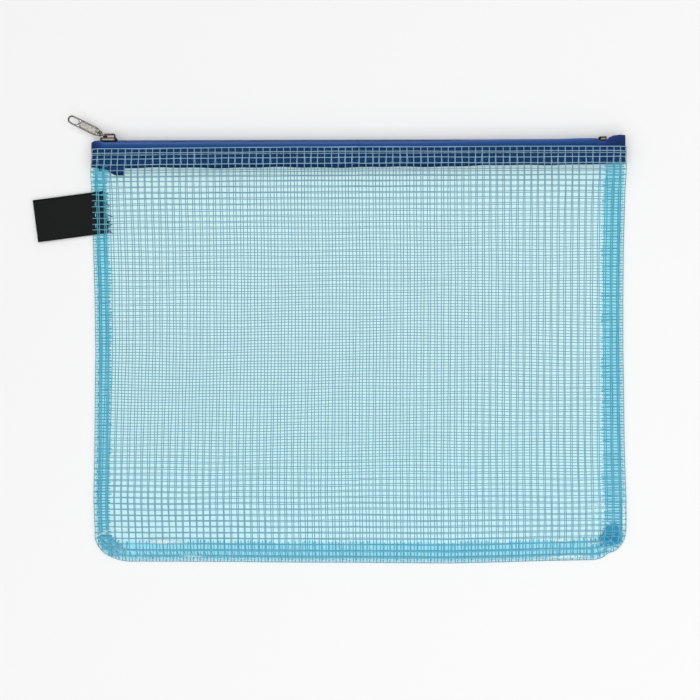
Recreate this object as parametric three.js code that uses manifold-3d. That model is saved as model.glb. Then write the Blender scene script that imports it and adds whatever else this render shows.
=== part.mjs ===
// Flat zipper bag of clear blue mesh film, lying closed on its back.
// Millimetres, +X along the zipper towards its closed stop, +Y from the bottom fold up to
// the zipper, +Z from the back wall to the front wall. The origin is the middle of the back
// wall's outer face, which is the face that the bag lies on.

import * as THREE from 'three';
import { mergeVertices } from 'three/addons/utils/BufferGeometryUtils.js';
import Module from 'manifold-3d';

const wasm = await Module();
wasm.setup();

// Bag
const BAG_WIDTH = 250;
const BAG_HEIGHT = 198.8;
const FILM = 0.4;
const CORNER_RUN = 17;
const CORNER_RISE = 12.5;
const CAVITY = 4.8;
const SEAM_STACK = 1.7;
const LAYER_GAP = 0.3;
const SIDE_RISE = 26;
const BOTTOM_RISE = 30;
const TOP_RISE = 36;
const TOP_CORNER_RISE = 12;

// Folded hem that carries the zipper tape
const TAPE_SHOWN = 3.7;
const HEM_DEPTH = 9.7;
const HEM_FOLD = 0.4;
const HEM_STITCH_INSET = 3.6;
const HEM_STITCH_PITCH = 3.6;
const HEM_STITCH_LENGTH = 2.4;

// Turned-in seams
const LEFT_ALLOWANCE = 6.2;
const RIGHT_ALLOWANCE = 8.8;
const BOTTOM_ALLOWANCE = 8;
const SEAM_STITCH_PITCH = 5;
const SEAM_STITCH_INSET = 0.15;
const SEAM_STITCH_RUN = 0.05;

// Sewing thread
const THREAD = 0.36;
const THREAD_WIDTH = 0.5;

// Zipper tape
const TAPE = 0.5;
const TAPE_DROP = 12.6;
const TAPE_EDGE = 1.05;
const TAPE_FOLD_RADIUS = 1.3;

// Nylon coil, drawn as two racks of teeth that lock
const COIL_PITCH = 1.15;
const COIL_HEIGHT = 1.1;
const COIL_REACH = 2.15;
const COIL_SPINE = 0.6;
const TOOTH_OVERLAP = 0.45;
const TOOTH_NECK = 0.4;
const TOOTH_HEAD = 0.56;

// Slider
const SLIDER_LENGTH = 7.7;
const SLIDER_INSET = 3.7;
const SLIDER_NOSE_HALF = 3.5;
const SLIDER_REAR_HALF = 3.05;
const SLIDER_PLATE = 0.75;
const SLIDER_CORNER = 1.3;
const SLIDER_WALL = 0.6;
const SLIDER_RUN = 0.2;
const SLIDER_SIDE_RUN = 0.3;
const CHANNEL_PARTING = 2.6;
const CHANNEL_JOINING = 5.4;
const POST_START = 0.8;
const POST_LENGTH = 2.3;
const CROWN_START = 1.2;
const CROWN_LENGTH = 5.8;
const CROWN_WIDTH = 1.8;
const CROWN_BAR = 0.7;
const CROWN_CORNER = 1.3;

// Link and pull
const LINK_WIRE = 0.8;
const LINK_PITCH = 3.6;
const LINK_RUN = 0.3;
const LINK_SIDE_RUN = 0.4;
const LINK_REST_ANGLE = 153.4;
const PULL_LENGTH = 16.4;
const PULL_WIDTH = 4;
const PULL_THICK = 1.2;
const PULL_RIM = 0.7;
const PULL_NECK = 2.6;
const PULL_WINDOW_LENGTH = 4.8;
const PULL_BRIDGE = 0.8;
const PULL_GRIP_DEPTH = 0.25;
const PULL_GRIP_RIBS = 3;
const PULL_GRIP_RIB = 0.22;
const PULL_RIB_SINK = 0.04;

// Stops crimped on the coil
const STOP_WALL = 0.6;
const STOP_RUN = 0.25;
const BOTTOM_STOP_LENGTH = 3.2;
const BOTTOM_STOP_INSET = 9;
const TOP_STOP_LENGTH = 2;

// Ribbon label folded into the left seam
const LABEL_WIDTH = 19;
const LABEL_OUT = 26.8;
const LABEL_IN = 7;
const LABEL_CLOTH = 0.3;
const LABEL_SLIT = 0.1;
const LABEL_SEAT = 0.6;
const LABEL_SIDE_RUN = 1.2;
const LABEL_BELOW_COIL = 35;
const LABEL_DROOP = 7.5;

// Places worked out from the sizes above
const halfSpan = BAG_WIDTH / 2;
const bottomY = -BAG_HEIGHT / 2;
const coilTop = BAG_HEIGHT / 2;
const tapeFace = coilTop - COIL_HEIGHT;
const hemTop = coilTop - TAPE_SHOWN;
const hemBottom = hemTop - HEM_DEPTH;
const tapeBottom = coilTop - TAPE_DROP;
const tapeInner = SLIDER_NOSE_HALF + SLIDER_SIDE_RUN;
const chainZ = 2 * FILM + TAPE + tapeInner;
const hemUnder = chainZ + tapeInner + TAPE + FILM;
const seamTop = FILM + SEAM_STACK;
const cavityTop = FILM + CAVITY;
const sliderNose = -halfSpan + SLIDER_INSET;
const coilStart = sliderNose + POST_START + POST_LENGTH + SLIDER_SIDE_RUN;
const crownTop = coilTop + SLIDER_RUN + SLIDER_PLATE + LINK_WIRE + 2 * LINK_RUN + CROWN_BAR;
const labelY = coilTop - LABEL_BELOW_COIL;
const labelZ = FILM + LABEL_SEAT;
const seamInset = SEAM_STITCH_INSET + THREAD_WIDTH + LAYER_GAP;
const stitchY = hemTop - HEM_STITCH_INSET;

const radians = THREE.MathUtils.degToRad;

function smooth(t) {
  return THREE.MathUtils.smoothstep(t, 0, 1);
}

// Half the bag's width at height y: straight sides above two elliptical bottom corners.
function halfWidth(y) {
  const up = Math.min(Math.max((y - bottomY) / CORNER_RISE, 0), 1);
  return halfSpan - CORNER_RUN * (1 - Math.sqrt(1 - (1 - up) ** 2));
}

// Height of the front wall's inner face. It lies on the seams at the sides and the bottom,
// is level over the middle, and climbs to the tape at the top.
function frontUnder(x, y) {
  const edgeClimb = smooth((y - hemBottom) / TOP_CORNER_RISE + 1);
  const bodyClimb = smooth((y - hemBottom) / TOP_RISE + 1);
  const edge = THREE.MathUtils.lerp(seamTop, hemUnder, edgeClimb);
  const body = THREE.MathUtils.lerp(cavityTop, hemUnder, bodyClimb);
  const inward = smooth((halfWidth(y) - Math.abs(x)) / SIDE_RISE);
  const upward = smooth((y - bottomY) / BOTTOM_RISE);
  return THREE.MathUtils.lerp(seamTop, THREE.MathUtils.lerp(edge, body, inward), upward);
}

function steps(count, from, to) {
  return Array.from({ length: count + 1 }, (_, i) => from + ((to - from) * i) / count);
}

// Closed sheet over a grid: rows of y, each with a vertex at every fraction across it.
function sheet(rows, across, xAt, under, over) {
  const wide = across.length;
  const size = rows.length * wide;
  const positions = [];
  for (const height of [over, under]) {
    for (const y of rows) {
      for (const f of across) {
        const x = xAt(y, f);
        positions.push(x, y, height(x, y));
      }
    }
  }
  const index = [];
  const quad = (a, b, c, d) => index.push(a, b, c, a, c, d);
  const last = rows.length - 1;
  for (let j = 0; j < last; j += 1) {
    for (let i = 0; i < wide - 1; i += 1) {
      const a = j * wide + i;
      quad(a, a + 1, a + wide + 1, a + wide);
      quad(size + a, size + a + wide, size + a + wide + 1, size + a + 1);
    }
    const left = j * wide;
    const right = left + wide - 1;
    quad(size + left + wide, size + left, left, left + wide);
    quad(size + right, size + right + wide, right + wide, right);
  }
  for (let i = 0; i < wide - 1; i += 1) {
    const top = last * wide + i;
    quad(size + i, size + i + 1, i + 1, i);
    quad(size + top + 1, size + top, top, top + 1);
  }
  const geometry = new THREE.BufferGeometry();
  geometry.setAttribute('position', new THREE.Float32BufferAttribute(positions, 3));
  geometry.setIndex(index);
  return geometry;
}

function solidOf(geometry) {
  const plain = geometry.clone();
  plain.deleteAttribute('normal');
  plain.deleteAttribute('uv');
  const merged = mergeVertices(plain, 1e-4);
  const vertProperties = merged.getAttribute('position').array;
  const triVerts = new Uint32Array(merged.index.array);
  return new wasm.Manifold(new wasm.Mesh({ numProp: 3, vertProperties, triVerts }));
}

function geometryOf(solid) {
  const { vertProperties, triVerts } = solid.getMesh();
  const geometry = new THREE.BufferGeometry();
  geometry.setAttribute('position', new THREE.BufferAttribute(vertProperties, 3));
  geometry.setIndex(new THREE.BufferAttribute(triVerts, 1));
  return geometry;
}

// Polygon or outline through points, each [x, y].
function outline(points) {
  return new THREE.Shape(points.map(([x, y]) => new THREE.Vector2(x, y)));
}

// Extruded shape with its depth centred on the shape's own plane.
function plate(shape, depth, curveSegments = 6, bevel = 0) {
  const settings = {
    depth: depth - 2 * bevel,
    curveSegments,
    bevelEnabled: bevel > 0,
    bevelThickness: bevel,
    bevelSize: bevel,
    bevelOffset: -bevel,
    bevelSegments: 1,
  };
  return new THREE.ExtrudeGeometry(shape, settings).translate(0, 0, bevel - depth / 2);
}

// Extruded shape drawn in X and Z, standing between two heights in Y.
function slab(shape, low, high, curveSegments = 6, bevel = 0) {
  const turned = plate(shape, high - low, curveSegments, bevel).rotateX(-Math.PI / 2);
  return turned.translate(0, (low + high) / 2, 0);
}

// Extruded shape drawn in Z and Y, running from x = from to x = to.
function bar(shape, from, to, curveSegments = 6, bevel = 0) {
  const turned = plate(shape, to - from, curveSegments, bevel).rotateY(-Math.PI / 2);
  return turned.translate((from + to) / 2, 0, 0);
}

// Rectangle with round corners, from its low and high corners.
function roundedBox(low, high, radius) {
  const [x0, y0] = low;
  const [x1, y1] = high;
  const shape = new THREE.Shape();
  shape.moveTo(x0 + radius, y0);
  shape.lineTo(x1 - radius, y0);
  shape.absarc(x1 - radius, y0 + radius, radius, -Math.PI / 2, 0);
  shape.lineTo(x1, y1 - radius);
  shape.absarc(x1 - radius, y1 - radius, radius, 0, Math.PI / 2);
  shape.lineTo(x0 + radius, y1);
  shape.absarc(x0 + radius, y1 - radius, radius, Math.PI / 2, Math.PI);
  shape.lineTo(x0, y0 + radius);
  shape.absarc(x0 + radius, y0 + radius, radius, Math.PI, 1.5 * Math.PI);
  return shape;
}

function finish(color, roughness, metalness, opacity = 1) {
  const transparent = opacity < 1;
  return new THREE.MeshStandardMaterial({ color, roughness, metalness, opacity, transparent });
}

const mesh_film = finish('#9fd6e2', 0.35, 0, 0.55);
const seam_film = finish('#6fb4c8', 0.4, 0, 0.8);
const woven_tape = finish('#2c4a8c', 0.85, 0);
const nylon_coil = finish('#1f2f63', 0.45, 0);
const plated_zinc = finish('#a8a8a2', 0.3, 0.9);
const ribbon = finish('#22252a', 0.8, 0);
const thread = finish('#5f8fb4', 0.7, 0);

function piece(name, geometry, material) {
  const mesh = new THREE.Mesh(geometry, material);
  mesh.name = name;
  return mesh;
}

// Rows shared by both walls: round corners, bottom climb, level middle, top climb and hem
// with its fold and the groove that the hem stitch is pulled into.
function wallRows() {
  const corner = steps(5, 0, Math.PI / 2).map((a) => bottomY + CORNER_RISE * (1 - Math.cos(a)));
  const climbStart = hemBottom - TOP_RISE;
  const cornerStart = hemBottom - TOP_CORNER_RISE;
  const groove = THREAD_WIDTH / 2 + LAYER_GAP;
  const wall = HEM_FOLD / 2;
  const middle = steps(3, bottomY + BOTTOM_RISE, climbStart);
  return [
    ...corner,
    ...steps(3, bottomY + CORNER_RISE, bottomY + BOTTOM_RISE).slice(1),
    ...middle.slice(1),
    ...steps(3, climbStart, cornerStart).slice(1),
    ...steps(4, cornerStart, hemBottom - HEM_FOLD).slice(1),
    hemBottom,
    stitchY - groove - wall,
    stitchY - groove,
    stitchY + groove,
    stitchY + groove + wall,
    hemTop,
  ];
}

// How far the hem stitch dents the outer face at height y.
function grooveDepth(y) {
  const groove = THREAD_WIDTH / 2 + LAYER_GAP;
  return Math.abs(y - stitchY) < groove + HEM_FOLD / 4 ? THREAD : 0;
}

function hemLayer(y) {
  return y > hemBottom - HEM_FOLD / 2 ? FILM : 0;
}

function wallX(y, f) {
  return halfWidth(y) * f;
}

function backPanel() {
  const over = (x, y) => FILM + hemLayer(y);
  const under = (x, y) => grooveDepth(y);
  return piece('back_panel', sheet(wallRows(), steps(4, -1, 1), wallX, under, over), mesh_film);
}

function frontPanel() {
  const across = steps(18, -1, 1).map((t) => Math.sin((t * Math.PI) / 2));
  const over = (x, y) => frontUnder(x, y) + FILM - grooveDepth(y);
  const under = (x, y) => frontUnder(x, y) - hemLayer(y);
  return piece('front_panel', sheet(wallRows(), across, wallX, under, over), mesh_film);
}

// Inner space of the seams: they stay clear of the front wall and the tapes above them.
function seamOver(x, y) {
  return Math.min(frontUnder(x, y), chainZ + tapeInner) - LAYER_GAP;
}

function seamUnder(x, y) {
  return y > hemBottom - HEM_FOLD - LAYER_GAP ? 2 * FILM + TAPE + LAYER_GAP : FILM;
}

// Edges of both walls, turned in along one side and bunched round the tape ends above.
function sideSeam(name, side, allowance, notch) {
  const low = bottomY + BOTTOM_ALLOWANCE + seamInset + LAYER_GAP;
  const tapeZone = hemBottom - HEM_FOLD - LAYER_GAP;
  const high = tapeFace - TAPE - SLIDER_RUN - SLIDER_PLATE - 2 * LAYER_GAP;
  const shared = wallRows().filter((y) => y > low && y < tapeZone);
  const rows = [low, ...shared, ...notch.rows, tapeZone, tapeZone + LAYER_GAP, high];
  rows.sort((a, b) => a - b);
  const outer = (y) => halfWidth(y) - seamInset;
  const from = side < 0 ? (y) => -outer(y) : (y) => outer(y) - allowance;
  const xAt = (y, f) => from(y) + allowance * f;
  const over = (x, y) => Math.min(seamOver(x, y), notch.floor(y));
  return piece(name, sheet(rows, [0, 0.5, 1], xAt, seamUnder, over), seam_film);
}

// Dip in the left seam that the folded label passes through.
function labelNotch() {
  const half = LABEL_WIDTH / 2 / Math.cos(radians(LABEL_DROOP)) + LABEL_SIDE_RUN;
  const reach = half + LABEL_SEAT;
  const rows = [labelY - reach, labelY - half, labelY + half, labelY + reach];
  const floor = (y) => (Math.abs(y - labelY) < half + LABEL_SEAT / 2 ? labelZ : Infinity);
  return { rows, floor };
}

const noNotch = { rows: [], floor: () => Infinity };

function bottomSeam() {
  const low = bottomY + seamInset;
  const high = low + BOTTOM_ALLOWANCE;
  const rows = [low, ...wallRows().filter((y) => y > low && y < high), high];
  const xAt = (y, f) => (halfWidth(y) - seamInset) * f;
  const across = steps(12, -1, 1).map((t) => Math.sin((t * Math.PI) / 2));
  return piece('bottom_seam', sheet(rows, across, xAt, () => FILM, seamOver), seam_film);
}

// Thread that shows as a row of raised dashes on one face, drawn along x from 0.
function dashedThread(length) {
  const count = Math.floor(length / HEM_STITCH_PITCH);
  const start = (length - count * HEM_STITCH_PITCH) / 2;
  const ramp = THREAD / 2;
  const gap = (HEM_STITCH_PITCH - HEM_STITCH_LENGTH) / 2;
  const points = [[0, 0], [length, 0], [length, THREAD / 2]];
  for (let k = count - 1; k >= 0; k -= 1) {
    const from = start + k * HEM_STITCH_PITCH + gap;
    const to = from + HEM_STITCH_LENGTH;
    points.push([to, THREAD / 2], [to - ramp, THREAD], [from + ramp, THREAD], [from, THREAD / 2]);
  }
  points.push([0, THREAD / 2]);
  return plate(outline(points), THREAD_WIDTH, 1);
}

function hemStitch(name, front) {
  const length = BAG_WIDTH - 2 * LAYER_GAP;
  const mesh = piece(name, dashedThread(length), thread);
  const seat = front ? hemUnder + FILM - THREAD : THREAD;
  mesh.rotation.x = front ? Math.PI / 2 : -Math.PI / 2;
  mesh.position.set(-length / 2, stitchY, seat);
  return mesh;
}

// Lockstitch inside a seam: one thread that goes up and down through the turned edges, and
// passes under what lies over it at a distance along the seam.
function seamThread(length, ceiling = () => Infinity) {
  const count = Math.floor(length / SEAM_STITCH_PITCH);
  const half = length / count / 2;
  const low = FILM + LAYER_GAP / 2;
  const high = seamTop - LAYER_GAP - THREAD;
  const upper = [];
  const lower = [];
  for (let k = 0; k <= count * 2; k += 1) {
    const at = k * half;
    const roof = Math.min(ceiling(at - half), ceiling(at), ceiling(at + half));
    const z = Math.min(k % 2 ? high : low, roof - THREAD - SEAM_STITCH_RUN);
    lower.push([at, z]);
    upper.unshift([at, z + THREAD]);
  }
  return plate(outline([...lower, ...upper]), THREAD_WIDTH, 1);
}

function sideStitch(name, side, notch) {
  const low = bottomY + CORNER_RISE;
  const high = hemBottom - TOP_CORNER_RISE;
  const wave = seamThread(high - low, (along) => notch.floor(low + along));
  const mesh = piece(name, wave, thread);
  mesh.rotation.set(Math.PI / 2, 0, Math.PI / 2, 'ZXY');
  mesh.position.set(side * (halfSpan - SEAM_STITCH_INSET - THREAD_WIDTH / 2), low, 0);
  return mesh;
}

function bottomStitch() {
  const length = BAG_WIDTH - 2 * CORNER_RUN;
  const mesh = piece('bottom_seam_stitch', seamThread(length), thread);
  mesh.rotation.x = Math.PI / 2;
  mesh.position.set(-length / 2, bottomY + SEAM_STITCH_INSET + THREAD_WIDTH / 2, 0);
  return mesh;
}

// Tape section: flat under the coil, folded over, then down inside the hem.
function tapeSection() {
  const outer = tapeInner + TAPE;
  const radius = TAPE_FOLD_RADIUS;
  const shape = new THREE.Shape();
  shape.moveTo(TAPE_EDGE, tapeFace - TAPE);
  shape.lineTo(outer - radius, tapeFace - TAPE);
  shape.absarc(outer - radius, tapeFace - radius, radius - TAPE, Math.PI / 2, 0, true);
  shape.lineTo(tapeInner, tapeBottom);
  shape.lineTo(outer, tapeBottom);
  shape.lineTo(outer, tapeFace - radius);
  shape.absarc(outer - radius, tapeFace - radius, radius, 0, Math.PI / 2);
  shape.lineTo(TAPE_EDGE, tapeFace);
  return shape;
}

// Rack of coil teeth seen from above, wider at the head so that two racks lock together.
function coilOutline(phase) {
  const length = halfSpan - coilStart;
  const count = Math.floor(length / COIL_PITCH) - 1;
  const root = COIL_REACH - COIL_SPINE;
  const points = [[0, COIL_REACH], [0, root]];
  for (let k = 0; k < count; k += 1) {
    const middle = (k + 0.5 + phase) * COIL_PITCH;
    points.push(
      [middle - TOOTH_NECK / 2, root],
      [middle - TOOTH_HEAD / 2, -TOOTH_OVERLAP],
      [middle + TOOTH_HEAD / 2, -TOOTH_OVERLAP],
      [middle + TOOTH_NECK / 2, root],
    );
  }
  points.push([length, root], [length, COIL_REACH]);
  return outline(points);
}

function backChain() {
  const group = new THREE.Group();
  const tape = piece('back_tape', plate(tapeSection(), BAG_WIDTH, 4), woven_tape);
  tape.rotation.y = Math.PI / 2;
  const coil = piece('back_coil', plate(coilOutline(0.5), COIL_HEIGHT, 1), nylon_coil);
  coil.rotation.x = -Math.PI / 2;
  coil.position.set(coilStart, coilTop - COIL_HEIGHT / 2, 0);
  group.add(tape, coil);
  return group;
}

function frontChain() {
  const group = new THREE.Group();
  const tape = piece('front_tape', plate(tapeSection(), BAG_WIDTH, 4), woven_tape);
  tape.rotation.y = -Math.PI / 2;
  const coil = piece('front_coil', plate(coilOutline(0), COIL_HEIGHT, 1), nylon_coil);
  coil.rotation.x = Math.PI / 2;
  coil.position.set(coilStart, coilTop - COIL_HEIGHT / 2, 0);
  group.add(tape, coil);
  return group;
}

// Clip bent over both coils at the closed end of the zipper, with two crimp grooves.
function bottomStop() {
  const reach = COIL_REACH + STOP_RUN;
  const top = coilTop + STOP_RUN;
  const section = outline([
    [-reach - STOP_WALL, tapeFace],
    [-reach, tapeFace],
    [-reach, top],
    [reach, top],
    [reach, tapeFace],
    [reach + STOP_WALL, tapeFace],
    [reach + STOP_WALL, top],
    [reach, top + STOP_WALL],
    [-reach, top + STOP_WALL],
    [-reach - STOP_WALL, top],
  ]);
  const from = halfSpan - BOTTOM_STOP_INSET - BOTTOM_STOP_LENGTH;
  let clip = solidOf(bar(section, from, from + BOTTOM_STOP_LENGTH));
  for (const share of [1 / 3, 2 / 3]) {
    const middle = from + BOTTOM_STOP_LENGTH * share;
    const groove = outline([
      [middle - STOP_WALL / 3, top + STOP_WALL * 1.5],
      [middle, top + STOP_WALL / 2],
      [middle + STOP_WALL / 3, top + STOP_WALL * 1.5],
    ]);
    clip = clip.subtract(solidOf(plate(groove, 4 * reach)));
  }
  return piece('bottom_stop', geometryOf(clip), plated_zinc);
}

// Small crimp on the end of one coil half, which the slider's nose closes against.
function topStop(name, side) {
  const from = sliderNose + POST_START;
  const section = outline([
    [TAPE_EDGE, tapeFace],
    [COIL_REACH, tapeFace],
    [COIL_REACH, coilTop - STOP_RUN],
    [COIL_REACH - STOP_RUN, coilTop],
    [TAPE_EDGE + STOP_RUN, coilTop],
    [TAPE_EDGE, coilTop - STOP_RUN],
  ]);
  const mesh = piece(name, plate(section, TOP_STOP_LENGTH), plated_zinc);
  mesh.rotation.y = (-side * Math.PI) / 2;
  mesh.position.x = from + TOP_STOP_LENGTH / 2;
  return mesh;
}

// Slider plate seen from above, from its wide nose at 0 to its narrower rear.
function plateOutline() {
  const shape = new THREE.Shape();
  const nose = SLIDER_NOSE_HALF;
  const rear = SLIDER_REAR_HALF;
  const round = SLIDER_CORNER;
  shape.moveTo(0, -nose + round);
  shape.quadraticCurveTo(0, -nose, round, -nose);
  shape.lineTo(SLIDER_LENGTH - round, -rear);
  shape.quadraticCurveTo(SLIDER_LENGTH, -rear, SLIDER_LENGTH, -rear + round);
  shape.lineTo(SLIDER_LENGTH, rear - round);
  shape.quadraticCurveTo(SLIDER_LENGTH, rear, SLIDER_LENGTH - round, rear);
  shape.lineTo(round, nose);
  shape.quadraticCurveTo(0, nose, 0, nose - round);
  return shape;
}

// Y-shaped way that the two coils take through the slider.
function channelOutline() {
  const nose = SLIDER_NOSE_HALF - SLIDER_WALL;
  const rear = SLIDER_REAR_HALF - SLIDER_WALL;
  const start = -SLIDER_WALL;
  const end = SLIDER_LENGTH + SLIDER_WALL;
  return outline([
    [start, -nose],
    [CHANNEL_PARTING, -nose],
    [CHANNEL_JOINING, -rear],
    [end, -rear],
    [end, rear],
    [CHANNEL_JOINING, rear],
    [CHANNEL_PARTING, nose],
    [start, nose],
  ]);
}

// Wedge that parts the two coils, between the slider's plates.
function postOutline() {
  const half = TAPE_EDGE - SLIDER_SIDE_RUN;
  const shape = new THREE.Shape();
  shape.moveTo(POST_START + POST_LENGTH, 0);
  shape.lineTo(POST_START + half, half);
  shape.absarc(POST_START + half, 0, half, Math.PI / 2, 1.5 * Math.PI);
  return shape;
}

// Arch on top of the slider, seen from the side, with the window that the link hangs in.
function crownOutline(base) {
  const low = base - SLIDER_PLATE / 2;
  const end = CROWN_START + CROWN_LENGTH;
  const shape = new THREE.Shape();
  shape.moveTo(CROWN_START, low);
  shape.lineTo(end, low);
  shape.lineTo(end, crownTop - CROWN_CORNER);
  shape.quadraticCurveTo(end, crownTop, end - CROWN_CORNER, crownTop);
  shape.lineTo(CROWN_START + CROWN_CORNER, crownTop);
  shape.quadraticCurveTo(CROWN_START, crownTop, CROWN_START, crownTop - CROWN_CORNER);
  const window = [CROWN_START + CROWN_BAR, base];
  const far = [end - CROWN_BAR, crownTop - CROWN_BAR];
  shape.holes.push(roundedBox(window, far, LINK_RUN));
  return shape;
}

function sliderBody() {
  const under = coilTop + SLIDER_RUN;
  const top = under + SLIDER_PLATE;
  const flangeEnd = tapeFace + SLIDER_RUN;
  const floor = tapeFace - TAPE - SLIDER_RUN;
  const channel = solidOf(slab(channelOutline(), flangeEnd - SLIDER_WALL, under));
  const flanges = solidOf(slab(plateOutline(), flangeEnd, under)).subtract(channel);
  const body = solidOf(slab(plateOutline(), under, top, 6, SLIDER_PLATE / 3))
    .add(solidOf(slab(plateOutline(), under, top - SLIDER_PLATE / 2)))
    .add(flanges)
    .add(solidOf(slab(plateOutline(), floor - SLIDER_PLATE, floor)))
    .add(solidOf(slab(postOutline(), floor - SLIDER_PLATE / 2, under + SLIDER_PLATE / 2)))
    .add(solidOf(plate(crownOutline(top), CROWN_WIDTH)));
  return piece('slider_body', geometryOf(body), plated_zinc);
}

// Oval wire ring through the slider's window and the hole in the pull.
function pullLink() {
  const half = LINK_WIRE / 2;
  const wide = CROWN_WIDTH / 2 + LINK_SIDE_RUN;
  const outerLow = [-half, -wide - LINK_WIRE];
  const outerHigh = [LINK_PITCH + half, wide + LINK_WIRE];
  const ring = roundedBox(outerLow, outerHigh, LINK_WIRE + half);
  ring.holes.push(roundedBox([half, -wide], [LINK_PITCH - half, wide], half));
  return piece('pull_link', slab(ring, -half, half, 4, LINK_WIRE / 4), plated_zinc);
}

// Pull seen flat, from its pivot at 0 to its round tip.
function pullOutline() {
  const hub = LINK_WIRE / 2 + LINK_RUN + PULL_RIM;
  const tip = PULL_WIDTH / 2;
  const shape = new THREE.Shape();
  shape.moveTo(0, -hub);
  shape.bezierCurveTo(PULL_NECK / 2, -hub, PULL_NECK / 2, -tip, PULL_NECK, -tip);
  shape.lineTo(PULL_LENGTH - tip, -tip);
  shape.absarc(PULL_LENGTH - tip, 0, tip, -Math.PI / 2, Math.PI / 2);
  shape.lineTo(PULL_NECK, tip);
  shape.bezierCurveTo(PULL_NECK / 2, tip, PULL_NECK / 2, hub, 0, hub);
  shape.absarc(0, 0, hub, Math.PI / 2, 1.5 * Math.PI);
  return shape;
}

function pullTab() {
  const hole = LINK_WIRE / 2 + LINK_RUN;
  const inner = PULL_WIDTH / 2 - PULL_RIM;
  const windowEnd = PULL_LENGTH - PULL_RIM;
  const windowStart = windowEnd - PULL_WINDOW_LENGTH;
  const gripEnd = windowStart - PULL_BRIDGE;
  const gripStart = hole + PULL_BRIDGE;
  const shape = pullOutline();
  shape.holes.push(new THREE.Path().absarc(0, 0, hole, 0, 2 * Math.PI));
  shape.holes.push(roundedBox([windowStart, -inner], [windowEnd, inner], inner - PULL_RIB_SINK));
  let tab = solidOf(plate(shape, PULL_THICK, 6, PULL_GRIP_DEPTH / 2));
  const grip = roundedBox([gripStart, -inner], [gripEnd, inner], inner / 2);
  const recess = solidOf(plate(grip, 2 * PULL_GRIP_DEPTH, 4));
  const ribs = [];
  for (let k = 1; k <= PULL_GRIP_RIBS; k += 1) {
    const middle = -inner + (2 * inner * k) / (PULL_GRIP_RIBS + 1);
    const low = [gripStart - PULL_RIM / 2, middle - PULL_GRIP_RIB / 2];
    const high = [gripEnd + PULL_RIM / 2, middle + PULL_GRIP_RIB / 2];
    ribs.push(roundedBox(low, high, PULL_GRIP_RIB / 3));
  }
  for (const face of [-PULL_THICK / 2, PULL_THICK / 2]) {
    tab = tab.subtract(recess.translate([0, 0, face]));
    for (const rib of ribs) {
      const middle = face - Math.sign(face) * (PULL_GRIP_DEPTH - PULL_RIB_SINK);
      tab = tab.add(solidOf(plate(rib, PULL_GRIP_DEPTH, 2)).translate([0, 0, middle]));
    }
  }
  return piece('pull_tab', geometryOf(tab), plated_zinc);
}

// The slider with its link and pull, hung in one another as they turn.
function sliderGroup() {
  const slider = new THREE.Group();
  slider.position.x = sliderNose;
  const link = new THREE.Group();
  const windowX = CROWN_START + CROWN_BAR + LINK_RUN + LINK_WIRE / 2;
  link.position.set(windowX, crownTop - CROWN_BAR - LINK_RUN - LINK_WIRE / 2, 0);
  link.rotation.z = radians(LINK_REST_ANGLE);
  const pull = new THREE.Group();
  pull.position.x = LINK_PITCH;
  pull.add(pullTab());
  link.add(pullLink(), pull);
  slider.add(sliderBody(), link);
  return slider;
}

// Ribbon folded in half: its fold is outside the bag and its two cut ends are inside.
function sideLabel() {
  const radius = LABEL_CLOTH + LABEL_SLIT / 2;
  const end = LABEL_OUT - radius;
  const shape = new THREE.Shape();
  shape.moveTo(-LABEL_IN, -radius);
  shape.lineTo(end, -radius);
  shape.absarc(end, 0, radius, -Math.PI / 2, Math.PI / 2);
  shape.lineTo(-LABEL_IN, radius);
  shape.lineTo(-LABEL_IN, LABEL_SLIT / 2);
  shape.lineTo(end, LABEL_SLIT / 2);
  shape.absarc(end, 0, LABEL_SLIT / 2, Math.PI / 2, -Math.PI / 2, true);
  shape.lineTo(-LABEL_IN, -LABEL_SLIT / 2);
  const ribbonStrip = piece('side_label', plate(shape, LABEL_WIDTH, 5), ribbon);
  ribbonStrip.rotation.x = Math.PI / 2;
  const group = new THREE.Group();
  group.position.set(-halfSpan, labelY, labelZ + radius);
  group.rotation.z = Math.PI + radians(LABEL_DROOP);
  group.add(ribbonStrip);
  return group;
}

const zipper = new THREE.Group();
zipper.position.z = chainZ;
zipper.add(
  backChain(),
  frontChain(),
  bottomStop(),
  topStop('back_top_stop', -1),
  topStop('front_top_stop', 1),
  sliderGroup(),
);

const bag = new THREE.Group();
bag.add(
  backPanel(),
  frontPanel(),
  sideSeam('left_seam', -1, LEFT_ALLOWANCE, labelNotch()),
  sideSeam('right_seam', 1, RIGHT_ALLOWANCE, noNotch),
  bottomSeam(),
  hemStitch('back_hem_stitch', false),
  hemStitch('front_hem_stitch', true),
  sideStitch('left_seam_stitch', -1, labelNotch()),
  sideStitch('right_seam_stitch', 1, noNotch),
  bottomStitch(),
  sideLabel(),
  zipper,
);

export default bag;
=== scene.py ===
# %% [markdown]
# A flat zipper pouch of clear blue mesh film, dressed for the camera.
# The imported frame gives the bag's size and its moving metal parts. The soft parts, which are
# the film walls with their grid of thread, the turned seams, the zipper tape, the coil and
# the label, are made here as surfaces worked out with numpy.

import math

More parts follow.
